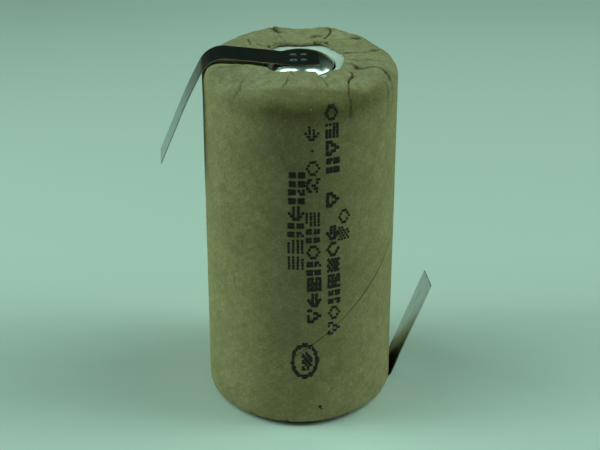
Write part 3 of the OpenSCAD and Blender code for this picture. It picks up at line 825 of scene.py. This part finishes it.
# painted shade over this strip under the base and round its bend, faint up the leg
neg_strip = build_strip(
    "negative_tab_strip", neg_path, NEG_AZ, NEG_SHIFT,
    welds=[(1.3, 1.0, 0.42), (-1.3, 1.0, 0.42), (1.3, -1.0, 0.42), (-1.3, -1.0, 0.42)],
    seed=71, side=-1, shade_paint=(18.0, 22.5, 0.9))

# ------------------------------------------------------------------ washer and spring
WASHER_IN, WASHER_OUT = 4.75, 11.2
WASHER_Z0, WASHER_Z1 = 48.60, 49.05


def build_washer(segments=300):
    """Flat fibre ring with a rough top and a raised place on its inner edge."""
    r0, r1, z0, z1 = WASHER_IN, WASHER_OUT, WASHER_Z0, WASHER_Z1
    profile = [(r, z1) for r in np.linspace(r0 + 0.06, r1 - 0.06, 40)]
    profile += [(r1 - 0.01, z1 - 0.05), (r1, z1 - 0.12), (r1, z0 + 0.06)]
    profile += [(r, z0) for r in np.linspace(r1 - 0.06, r0 + 0.06, 20)]
    profile += [(r0, z0 + 0.06), (r0, z1 - 0.10), (r0 + 0.02, z1 - 0.03)]
    r, level = np.array(profile, float).T
    points = np.zeros((segments, len(profile), 3))
    for i, turn in enumerate(np.linspace(0, 2 * math.pi, segments, endpoint=False)):
        theta = math.degrees(turn)
        rough = (0.016 * ring_noise(theta, 90, r * 1.9, seed=81)
                 + 0.010 * ring_noise(theta, 200, r * 4, seed=82))
        z = level + np.where(level > 48.95, rough - 0.012, 0)
        off = (theta - 304 + 180) % 360 - 180
        z = z + 0.10 * math.exp(-(off / 14.0) ** 2) * np.clip((5.5 - r) / 0.7, 0, 1) * (z > 48.9)
        points[i] = np.stack([r * math.cos(turn), r * math.sin(turn), z], -1)
    faces = grid_faces(segments, len(profile))[:, [0, 3, 2, 1]]
    return make_object("fibre_washer", points.reshape(-1, 3), faces)


washer = build_washer()

COIL_R = 1.6
WIRE = 0.25              # diameter
COIL_TURNS = 2.5         # open turns between the closed ones
END_TURNS = 0.75         # closed turns at each end


def build_coil(z0, z1):
    """Round wire wound between two heights, with closed end turns."""
    wire_r = WIRE / 2
    turn_steps, sides = 64, 16
    steps = int(turn_steps * (COIL_TURNS + 2 * END_TURNS))
    end_rise = (WIRE + 0.01) * END_TURNS
    mid_rise = z1 - z0 - WIRE - 2 * end_rise
    points, faces = [], []
    for i in range(steps + 1):
        t = i / turn_steps
        if t < END_TURNS:
            rise = end_rise * t / END_TURNS
        elif t > END_TURNS + COIL_TURNS:
            rise = end_rise + mid_rise + end_rise * (t - END_TURNS - COIL_TURNS) / END_TURNS
        else:
            rise = end_rise + mid_rise * (t - END_TURNS) / COIL_TURNS
        a = 2 * math.pi * t
        # the cut ends are a little rounded
        q = wire_r * {0: 0.80, 1: 0.97}.get(min(i, steps - i), 1.0)
        for j in range(sides):
            w = 2 * math.pi * j / sides
            r = COIL_R + q * math.cos(w)
            points.append((r * math.cos(a), r * math.sin(a), z0 + wire_r + rise + q * math.sin(w)))
    for i in range(steps):
        for j in range(sides):
            k = (j + 1) % sides
            faces.append((i * sides + j, i * sides + k, (i + 1) * sides + k, (i + 1) * sides + j))
    faces.append(tuple(range(sides))[::-1])
    faces.append(tuple(steps * sides + j for j in range(sides)))
    return make_object("valve_spring_coil", points, faces)


spring_lo, spring_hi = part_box("vent_spring")
coil_z0, coil_z1 = spring_lo[2] * 1000, spring_hi[2] * 1000
coil = build_coil(coil_z0, coil_z1)


# ------------------------------------------------------------------ shader helpers
class Nodes:
    """Short way to write a node tree. Inputs are given as sockets or as plain values."""

    def __init__(self, tree):
        self.tree = tree

    def feed(self, node, inputs):
        for key, value in inputs.items():
            if isinstance(value, bpy.types.NodeSocket):
                self.tree.links.new(value, node.inputs[key])
            else:
                node.inputs[key].default_value = value

    def add(self, kind, inputs=None, **settings):
        node = self.tree.nodes.new(kind)
        for name, value in settings.items():
            setattr(node, name, value)
        self.feed(node, inputs or {})
        return node

    def math(self, operation, a, b, clamp=False):
        node = self.add("ShaderNodeMath", {0: a, 1: b}, operation=operation, use_clamp=clamp)
        return node.outputs[0]

    def product(self, first, *others, clamp=False):
        for other in others:
            first = self.math("MULTIPLY", first, other, clamp)
        return first

    def total(self, first, *others):
        for other in others:
            first = self.math("ADD", first, other)
        return first

    def remap(self, value, to, span=(0.3, 0.7)):
        """Clamped map from a span, by default the usual one of noise, to another."""
        inputs = {"Value": value, "From Min": span[0], "From Max": span[1],
                  "To Min": to[0], "To Max": to[1]}
        return self.add("ShaderNodeMapRange", inputs).outputs[0]

    def mapping(self, vector, scale=(1, 1, 1), rot=(0, 0, 0), loc=(0, 0, 0)):
        inputs = {"Vector": vector, "Scale": scale, "Rotation": rot, "Location": loc}
        return self.add("ShaderNodeMapping", inputs).outputs[0]

    def millimetres(self, stretch=(1, 1, 1)):
        place = self.add("ShaderNodeTexCoord").outputs["Object"]
        return self.mapping(place, scale=tuple(1000 * s for s in stretch))

    def noise(self, vector, scale, detail=3.0, rough=0.5, distortion=0.0):
        inputs = {"Vector": vector, "Scale": scale, "Detail": detail, "Roughness": rough,
                  "Distortion": distortion}
        return self.add("ShaderNodeTexNoise", inputs).outputs[0]

    def flecks(self, vector, scale, span):
        """Round spots: 1 nearer to a cell centre than the span, 0 beyond it."""
        cells = self.add("ShaderNodeTexVoronoi", {"Vector": vector, "Scale": scale})
        return self.remap(cells.outputs["Distance"], to=(1.0, 0.0), span=span)

    def ramp(self, factor, stops):
        node = self.add("ShaderNodeValToRGB", {0: factor})
        elements = node.color_ramp.elements
        while len(elements) > 1:
            elements.remove(elements[-1])
        elements[0].position = stops[0][0]
        elements[0].color = (*stops[0][1], 1)
        for position, color in stops[1:]:
            elements.new(position).color = (*color, 1)
        return node.outputs[0]

    def mix(self, factor, a, b, blend="MIX"):
        node = self.add("ShaderNodeMix", {"Factor": factor}, data_type="RGBA", blend_type=blend)
        slots = [i for i, socket in enumerate(node.inputs) if socket.type == "RGBA"]
        for slot, color in zip(slots, (a, b)):
            self.feed(node, {slot: (*color, 1) if isinstance(color, tuple) else color})
        return [socket for socket in node.outputs if socket.type == "RGBA"][0]

    def tint(self, color, by):
        return self.mix(1.0, color, by, "MULTIPLY")

    def attribute(self, name, output="Fac"):
        return self.add("ShaderNodeAttribute", attribute_name=name).outputs[output]

    def bump(self, height, strength, distance):
        inputs = {"Height": height, "Strength": strength, "Distance": distance}
        return self.add("ShaderNodeBump", inputs).outputs[0]


def new_material(name):
    material = bpy.data.materials.new(name)
    material.use_nodes = True
    tree = material.node_tree
    return material, Nodes(tree), tree.nodes["Principled BSDF"]


def grey(value):
    return (value, value, value)


# ------------------------------------------------------------------ materials
def kraft_material():
    material, n, shader = new_material("kraft_paper_wound")
    mm = n.millimetres()
    paper = n.attribute("paper", "Vector")
    # cloudiness from broad to fine
    big = n.noise(mm, scale=0.16, detail=3, rough=0.55)
    mid = n.noise(mm, scale=0.85, detail=4, rough=0.6, distortion=0.4)
    fine = n.noise(mm, scale=3.1, detail=3, rough=0.65)
    grain = n.noise(mm, scale=9.0, detail=2, rough=0.6)
    # fibres: long thin streaks, most of them along the winding, some across
    along = n.noise(n.mapping(paper, scale=(0.55, 5.5, 1)),
                    scale=1.0, detail=3, rough=0.6, distortion=0.3)
    across = n.noise(n.mapping(paper, scale=(4.8, 0.8, 1), loc=(7, 3, 0)),
                     scale=1.0, detail=3, rough=0.6, distortion=0.3)
    bands = n.noise(n.mapping(paper, scale=(0.12, 1.6, 1), loc=(3, 9, 0)),
                    scale=1.0, detail=2, rough=0.5)
    fresh = n.ramp(mid, [(0.28, (0.330, 0.238, 0.104)), (0.46, (0.372, 0.284, 0.136)),
                         (0.58, (0.396, 0.306, 0.152)), (0.76, (0.438, 0.346, 0.188))])
    rubbed = n.ramp(mid, [(0.28, (0.340, 0.262, 0.138)), (0.50, (0.402, 0.318, 0.186)),
                          (0.76, (0.480, 0.398, 0.256))])
    color = n.mix(n.product(n.attribute("wear"), 0.85, clamp=True), fresh, rubbed)
    # painted shade on the front of the top end, where the lip rolls down over the shoulder: darker
    # and yellower
    color = n.mix(n.attribute("shade"), color, n.tint(color, (0.57, 0.56, 0.46)))
    brightness = n.product(*[n.remap(field, to=to) for field, to in (
        (big, (0.88, 1.10)), (fine, (0.80, 1.20)), (grain, (0.86, 1.14)),
        (along, (0.955, 1.045)), (across, (0.965, 1.035)), (bands, (0.95, 1.05)))])
    combined = n.add("ShaderNodeCombineColor", dict.fromkeys(range(3), brightness))
    color = n.tint(color, combined.outputs[0])
    # pale and dark flecks, each kept only in patches
    pale = n.flecks(mm, scale=0.62, span=(0.045, 0.085))
    patches = n.math("GREATER_THAN", n.noise(mm, scale=0.31, detail=0), 0.60)
    color = n.mix(n.product(pale, patches, 0.55), color, (0.62, 0.60, 0.50))
    dark = n.flecks(n.mapping(mm, loc=(11, 5, 3)), scale=1.1, span=(0.05, 0.11))
    patches = n.math("GREATER_THAN", n.noise(mm, scale=0.5, detail=0), 0.57)
    color = n.mix(n.product(dark, patches, 0.5), color, (0.16, 0.10, 0.05))
    # painted shade in the folds, the pressed creases and round the front of the foot, with the
    # seam underneath showing through: darker and redder
    uneven = n.remap(n.noise(mm, scale=2.2, detail=2), to=(0.55, 1.25))
    creased = n.product(n.attribute("shade_and_under_seam"), uneven, clamp=True)
    color = n.mix(n.product(creased, 0.94), color, (0.085, 0.042, 0.014))
    uneven = n.remap(n.noise(mm, scale=0.5, detail=2), to=(0.72, 1.0), span=(0.35, 0.65))
    seam = n.product(n.attribute("seam"), uneven, clamp=True)
    color = n.mix(seam, color, (0.075, 0.05, 0.022))
    height = n.total(n.product(fine, 0.55), n.product(along, 0.5), n.product(grain, 0.35),
                     n.product(across, 0.3))
    n.feed(shader, {
        "Base Color": color,
        "Roughness": n.remap(mid, to=(0.82, 0.94)),
        "Specular IOR Level": 0.25,
        "Normal": n.bump(height, strength=0.5, distance=0.00005)})
    return material


def ink_material():
    material, n, shader = new_material("stamp_ink")
    mm = n.millimetres()
    blots = n.noise(mm, scale=3.4, detail=3, rough=0.65)
    pits = n.noise(mm, scale=8.0, detail=2, rough=0.6)
    n.feed(shader, {
        "Base Color": n.ramp(blots, [(0.30, (0.012, 0.013, 0.012)),
                                     (0.56, (0.026, 0.027, 0.022)),
                                     (0.74, (0.085, 0.072, 0.044))]),
        "Roughness": n.remap(blots, to=(0.6, 0.85)),
        "Specular IOR Level": 0.3,
        "Normal": n.bump(pits, strength=0.4, distance=0.00003)})
    return material


def strip_material():
    material, n, shader = new_material("nickel_strip_rolled")
    strip = n.attribute("strip", "Vector")
    weld = n.attribute("weld")
    brush = n.noise(n.mapping(strip, scale=(0.35, 9.0, 1)), scale=1.0, detail=4, rough=0.65)
    blots = n.noise(n.mapping(strip, scale=(0.8, 1.1, 1), loc=(4, 2, 0)),
                    scale=1.0, detail=4, rough=0.6)
    scratches = n.noise(n.mapping(strip, scale=(2.6, 3.4, 1), rot=(0, 0, 0.6)),
                        scale=1.0, detail=5, rough=0.7, distortion=1.2)
    patchy = n.remap(n.noise(strip, scale=2.9, detail=4, rough=0.75),
                     to=(0.06, 0.9), span=(0.32, 0.74))
    frost = n.product(weld, patchy, clamp=True)
    color = n.ramp(blots, [(0.3, (0.50, 0.485, 0.455)), (0.5, (0.585, 0.57, 0.54)),
                           (0.72, (0.655, 0.64, 0.61))])
    color = n.tint(color, n.ramp(brush, [(0.3, grey(0.88)), (0.7, grey(1.12))]))
    color = n.mix(n.product(frost, 0.8), color, (0.95, 0.92, 0.92))
    # painted shade over the negative strip, under the base and round its bend
    color = n.mix(n.attribute("strip_shade"), color, (0.10, 0.095, 0.085))
    rough = n.total(n.remap(brush, to=(0.15, 0.22)),
                    n.remap(scratches, to=(0.0, 0.06), span=(0.4, 0.75)),
                    n.product(frost, 0.42))
    weld_grain = n.noise(strip, scale=6.0, detail=3, rough=0.6)
    height = n.total(n.product(brush, 0.6), n.product(scratches, 0.25),
                     n.product(weld, weld_grain, 3.0))
    n.feed(shader, {
        "Base Color": color,
        "Metallic": n.math("SUBTRACT", 1.0, n.product(frost, 0.65)),
        "Roughness": rough,
        "Normal": n.bump(height, strength=0.25, distance=0.000012)})
    return material


def metal_material(name, tone, rough, scale, bump, tilt=None):
    """Bare metal; tilt is a function that changes its normal."""
    material, n, shader = new_material(name)
    mm = n.millimetres()
    blots = n.noise(mm, scale=scale, detail=4, rough=0.6)
    lines = n.noise(n.mapping(mm, scale=(1, 1, 6)), scale=scale * 1.7, detail=3, rough=0.6)
    dull = tuple(c * 0.86 for c in tone)
    bright = tuple(min(1, c * 1.08) for c in tone)
    normal = n.bump(lines, strength=bump, distance=0.00001)
    n.feed(shader, {
        "Base Color": n.ramp(blots, [(0.3, dull), (0.7, bright)]),
        "Metallic": 1.0,
        "Roughness": n.remap(lines, to=rough),
        "Normal": tilt(n, normal) if tilt else normal})
    return material


def matte_material(name, tone, rough, scale, var, bump, depth, stretch=(1, 1, 1)):
    """Matte stuff whose tone varies by the share var."""
    material, n, shader = new_material(name)
    mm = n.millimetres(stretch)
    coarse = n.noise(mm, scale=scale, detail=5, rough=0.65)
    fine = n.noise(mm, scale=scale * 3.7, detail=3, rough=0.6)
    both = n.total(n.product(coarse, 0.6), n.product(fine, 0.4))
    dark = tuple(c * (1 - var) for c in tone)
    light = tuple(min(1, c * (1 + var * 0.6)) for c in tone)
    n.feed(shader, {
        "Base Color": n.ramp(both, [(0.32, dark), (0.68, light)]),
        "Roughness": n.remap(fine, to=rough),
        "Specular IOR Level": 0.3,
        "Normal": n.bump(both, strength=bump, distance=depth)})
    return material


def domed(n, normal):
    """Leans the normal outwards with distance from the axis, fading at the cap's edge."""
    def vector_math(operation, inputs):
        return n.add("ShaderNodeVectorMath", inputs, operation=operation)

    position = n.add("ShaderNodeNewGeometry").outputs["Position"]
    flat = vector_math("MULTIPLY", {0: position, 1: (1, 1, 0)}).outputs[0]
    radius = n.product(vector_math("LENGTH", {0: flat}).outputs["Value"], 1000.0)
    growth = n.math("POWER", n.product(radius, 1 / 3.2), 1.6)
    lean = n.product(growth, n.remap(radius, to=(1.0, 0.0), span=(3.1, 4.3)), 150.0)
    outward = vector_math("SCALE", {0: flat, "Scale": lean}).outputs[0]
    leaning = vector_math("ADD", {0: normal, 1: outward}).outputs[0]
    return vector_math("NORMALIZE", {0: leaning}).outputs[0]


kraft = kraft_material()
ink = ink_material()
nickel_strip = strip_material()
cap_nickel = metal_material("cap_bright_nickel", tone=(0.80, 0.785, 0.75), rough=(0.16, 0.24),
                            scale=0.5, bump=0.12, tilt=domed)
can_steel = metal_material("can_plated_steel", tone=(0.62, 0.61, 0.59), rough=(0.22, 0.34),
                           scale=0.7, bump=0.3)
cover_steel = metal_material("cover_plated_steel", tone=(0.66, 0.65, 0.62), rough=(0.20, 0.30),
                             scale=0.9, bump=0.3)
collector = metal_material("collector_nickel", tone=(0.64, 0.62, 0.58), rough=(0.28, 0.40),
                           scale=1.2, bump=0.4)
spring_steel = metal_material("spring_steel", tone=(0.58, 0.575, 0.56), rough=(0.18, 0.28),
                              scale=3.0, bump=0.2)
washer_fibre = matte_material("washer_white_fibre", tone=(0.86, 0.86, 0.84), rough=(0.72, 0.9),
                              scale=1.6, var=0.06, bump=0.6, depth=0.00005)
ring_fibre = matte_material("ring_white_fibre", tone=(0.80, 0.79, 0.74), rough=(0.7, 0.9),
                            scale=1.6, var=0.1, bump=0.5, depth=0.00004)
nylon = matte_material("gasket_nylon", tone=(0.74, 0.74, 0.68), rough=(0.35, 0.5),
                       scale=0.8, var=0.08, bump=0.2, depth=0.00002)
rubber = matte_material("valve_rubber", tone=(0.028, 0.028, 0.027), rough=(0.6, 0.8),
                        scale=2.2, var=0.3, bump=0.5, depth=0.00003)
felt = matte_material("separator_felt", tone=(0.76, 0.76, 0.71), rough=(0.85, 0.97),
                      scale=4.0, var=0.12, bump=0.8, depth=0.00006, stretch=(1, 1, 0.5))
negative = matte_material("negative_sheet", tone=(0.16, 0.165, 0.17), rough=(0.6, 0.8),
                          scale=3.0, var=0.25, bump=0.8, depth=0.00006)
positive = matte_material("positive_sheet", tone=(0.060, 0.072, 0.060), rough=(0.65, 0.85),
                          scale=3.0, var=0.25, bump=0.8, depth=0.00006)

PIECE_MATERIALS = {
    "steel_can": can_steel, "negative_electrode": negative, "positive_electrode": positive,
    "inner_separator": felt, "outer_separator": felt, "negative_collector": collector,
    "positive_collector": collector, "positive_lead": collector,
    "top_insulator_ring": ring_fibre, "sealing_gasket": nylon, "cover_plate": cover_steel,
    "vent_seal": rubber, "vent_plate": cover_steel, "vent_spring": spring_steel,
    "positive_cap": cap_nickel, "insulating_washer": washer_fibre, "paper_sleeve": kraft,
    "positive_tab_foot": nickel_strip, "positive_tab_leg": nickel_strip,
    "negative_tab_foot": nickel_strip, "negative_tab_leg": nickel_strip,
}
for piece, material in PIECE_MATERIALS.items():
    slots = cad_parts[piece].data.materials
    slots.clear()
    slots.append(material)
for built, material in ((sleeve, kraft), (marks, ink), (pos_strip, nickel_strip),
                        (neg_strip, nickel_strip), (washer, washer_fibre),
                        (coil, spring_steel)):
    built.data.materials.append(material)


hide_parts("paper_sleeve")
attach(sleeve, "cell")
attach(marks, "cell")
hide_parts("insulating_washer")
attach(washer, "cell")
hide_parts("positive_tab_foot", "positive_tab_leg")
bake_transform(pos_strip)
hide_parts("negative_tab_foot", "negative_tab_leg")
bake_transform(neg_strip)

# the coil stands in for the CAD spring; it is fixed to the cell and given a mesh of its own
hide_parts("vent_spring")
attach(coil, "cell")
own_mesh(coil)

# ------------------------------------------------------------------ floor (in metres)
CAST = (0.60, 1.0, 0.80)                  # the greenish light of the setting
BACKDROP = (0.28, 0.47, 0.375, 1)
FLOOR_HALF = 3.0
FLOOR_Z = -0.00022
FLOOR_LINES = 7
FLOOR_Y0, FLOOR_Y1 = -0.06, 0.20          # the tones below are spread between these
# y, brightness: the setting's light and shade painted into the sheet, with a painted shadow band
# across the cell's base and painted shade towards the back
FLOOR_LIGHT_AND_SHADE = [
    (-0.055, 0.84), (-0.030, 0.86), (-0.020, 0.86), (-0.012, 0.80), (-0.006, 0.75),
    (0.003, 0.71), (0.010, 0.73), (0.020, 0.79), (0.036, 0.83), (0.054, 0.82),
    (0.097, 0.77), (0.128, 0.70), (0.150, 0.62), (0.19, 0.58)]


def floor_material():
    material, n, shader = new_material("stage_floor")
    position = n.add("ShaderNodeNewGeometry").outputs["Position"]
    x, y = n.add("ShaderNodeSeparateXYZ", {0: position}).outputs[:2]
    stops = [((tone_y - FLOOR_Y0) / (FLOOR_Y1 - FLOOR_Y0),
              tuple(tone * c for c in (0.98, 1.0, 0.985))) for tone_y, tone in FLOOR_LIGHT_AND_SHADE]
    color = n.ramp(n.remap(y, to=(0.0, 1.0), span=(FLOOR_Y0, FLOOR_Y1)), stops)
    # painted shade at the back left, painted light in front of the cell on the right
    back_left_shade = n.product(n.remap(x, to=(0.0, 1.0), span=(-0.010, -0.060)),
                          n.remap(y, to=(0.0, 1.0), span=(0.07, 0.17)))
    color = n.mix(n.product(back_left_shade, 0.24), color, (0.20, 0.22, 0.21))
    front_right_light = n.product(n.remap(x, to=(0.0, 1.0), span=(0.001, 0.009)),
                            n.remap(y, to=(0.0, 1.0), span=(0.016, -0.006)),
                            n.remap(y, to=(0.0, 1.0), span=(-0.030, -0.016)))
    color = n.mix(n.product(front_right_light, 0.92), color, (0.95, 0.97, 0.96))
    clouds = n.noise(n.mapping(position, scale=(9, 9, 9)), scale=1.0, detail=2)
    color = n.tint(color, n.ramp(clouds, [(0.3, grey(0.985)), (0.7, grey(1.0))]))
    # painted shade for bounced light and painted dark reflections: to rays other than the camera's
    # the sheet is dark in front of the cell, and to reflections it is dark behind; the camera
    # still sees it pale
    rays = n.add("ShaderNodeLightPath").outputs
    front = n.product(n.math("SUBTRACT", 1.0, rays["Is Camera Ray"]),
                      n.remap(y, to=(0.0, 1.0), span=(-0.075, -0.125)))
    back = n.product(rays["Is Glossy Ray"], n.remap(y, to=(0.0, 1.0), span=(0.15, 0.25)))
    color = n.mix(n.math("MAXIMUM", front, back), color, (0.105, 0.072, 0.036))
    # far from the cell the sheet sweeps up into the backdrop
    far = n.add("ShaderNodeVectorMath", {0: position}, operation="LENGTH").outputs["Value"]
    sweep = n.product(rays["Is Camera Ray"], n.remap(far, to=(0.0, 1.0), span=(0.24, 0.75)))
    n.feed(shader, {
        "Base Color": n.mix(sweep, color, grey(0.0)),
        "Emission Color": BACKDROP,
        "Emission Strength": sweep,
        "Roughness": 0.9,
        "Specular IOR Level": 0.1})
    return material


def build_floor():
    mesh = bpy.data.meshes.new("floor")
    lines = np.linspace(-FLOOR_HALF, FLOOR_HALF, FLOOR_LINES)
    corners = [j * FLOOR_LINES + i
               for j in range(FLOOR_LINES - 1) for i in range(FLOOR_LINES - 1)]
    mesh.from_pydata([(x, y, FLOOR_Z) for y in lines for x in lines], [],
                     [(k, k + 1, k + FLOOR_LINES + 1, k + FLOOR_LINES) for k in corners])
    floor = bpy.data.objects.new("floor", mesh)
    bpy.context.scene.collection.objects.link(floor)
    mesh.materials.append(floor_material())
    return floor


build_floor()

# ------------------------------------------------------------------ lights and world
# name, place, target, width, height (metres), power (watts)
LIGHTS = [
    ("top_left_box", (-0.27, -0.03, 0.58), (0, -0.01, 0), 0.20, 0.44, 0.87),
    ("top_right_box", (0.33, -0.03, 0.54), (0, -0.01, 0), 0.15, 0.42, 0.67),
    ("left_box", (-0.52, 0.07, 0.26), (0, 0, 0.02), 0.34, 0.34, 1.44),
    ("right_box", (0.52, 0.07, 0.24), (0, 0, 0.02), 0.34, 0.34, 0.99),
]
for name, place, target, width, height, power in LIGHTS:
    light = bpy.data.lights.new(name, "AREA")
    light.shape = "RECTANGLE"
    light.size, light.size_y = width, height
    light.energy = power
    light.color = CAST
    lamp = bpy.data.objects.new(name, light)
    lamp.location = place
    aim = Vector(target) - Vector(place)
    lamp.rotation_euler = aim.to_track_quat("-Z", "Y").to_euler()
    bpy.context.scene.collection.objects.link(lamp)


def build_world():
    """Plain backdrop for the camera, dim room for everything else."""
    world = bpy.data.worlds.new("studio")
    bpy.context.scene.world = world
    world.use_nodes = True
    world.node_tree.nodes.clear()
    n = Nodes(world.node_tree)
    direction = n.add("ShaderNodeTexCoord").outputs["Generated"]
    x, _, z = n.add("ShaderNodeSeparateXYZ", {0: direction}).outputs
    sides = n.remap(n.math("ABSOLUTE", x, 0.0), to=(0.0, 1.0), span=(0.45, 0.85))
    overhead = n.remap(z, to=(0.0, 1.0), span=(0.72, 0.90))
    below = n.remap(z, to=(1.0, 0.0), span=(-0.20, 0.02))
    right_side = n.product(n.remap(x, to=(0.0, 1.0), span=(0.15, 0.45)),
                           n.remap(z, to=(0.0, 1.0), span=(0.05, 0.30)),
                           n.remap(z, to=(1.0, 0.0), span=(0.60, 0.85)))
    everywhere = 0.016
    level = n.total(n.product(sides, 0.07), n.product(overhead, 0.07),
                    n.product(below, 0.30), everywhere, n.product(right_side, 0.060))
    room = n.add("ShaderNodeBackground", {0: (*CAST, 1), 1: level})
    backdrop = n.add("ShaderNodeBackground", {0: BACKDROP, 1: 1.0})
    camera_ray = n.add("ShaderNodeLightPath").outputs["Is Camera Ray"]
    shown = n.add("ShaderNodeMixShader",
                  {0: camera_ray, 1: room.outputs[0], 2: backdrop.outputs[0]})
    n.add("ShaderNodeOutputWorld", {0: shown.outputs[0]})


build_world()

# ------------------------------------------------------------------ camera
CAMERA_PLACE = (0.00003, -0.19369, 0.13177)
LOOK_DOWN, ROLL = math.radians(28.91), math.radians(0.07)


def build_camera():
    lens = bpy.data.cameras.new("camera")
    lens.lens = 95.2
    lens.sensor_width = 36.0
    lens.clip_start, lens.clip_end = 0.01, 20
    camera = bpy.data.objects.new("camera", lens)
    bpy.context.scene.collection.objects.link(camera)
    forward = Vector((0, math.cos(LOOK_DOWN), -math.sin(LOOK_DOWN)))
    level = Vector((1, 0, 0))
    right = level * math.cos(ROLL) + level.cross(forward) * math.sin(ROLL)
    axes = (right, right.cross(forward), -forward, Vector(CAMERA_PLACE))
    camera.matrix_world = Matrix([[axis[i] for axis in axes] for i in range(3)]
                                 + [[0, 0, 0, 1]])
    bpy.context.scene.camera = camera


build_camera()
view = bpy.context.scene.view_settings
view.view_transform = "Standard"
view.look = "None"
view.exposure = 0.0
view.gamma = 1.0
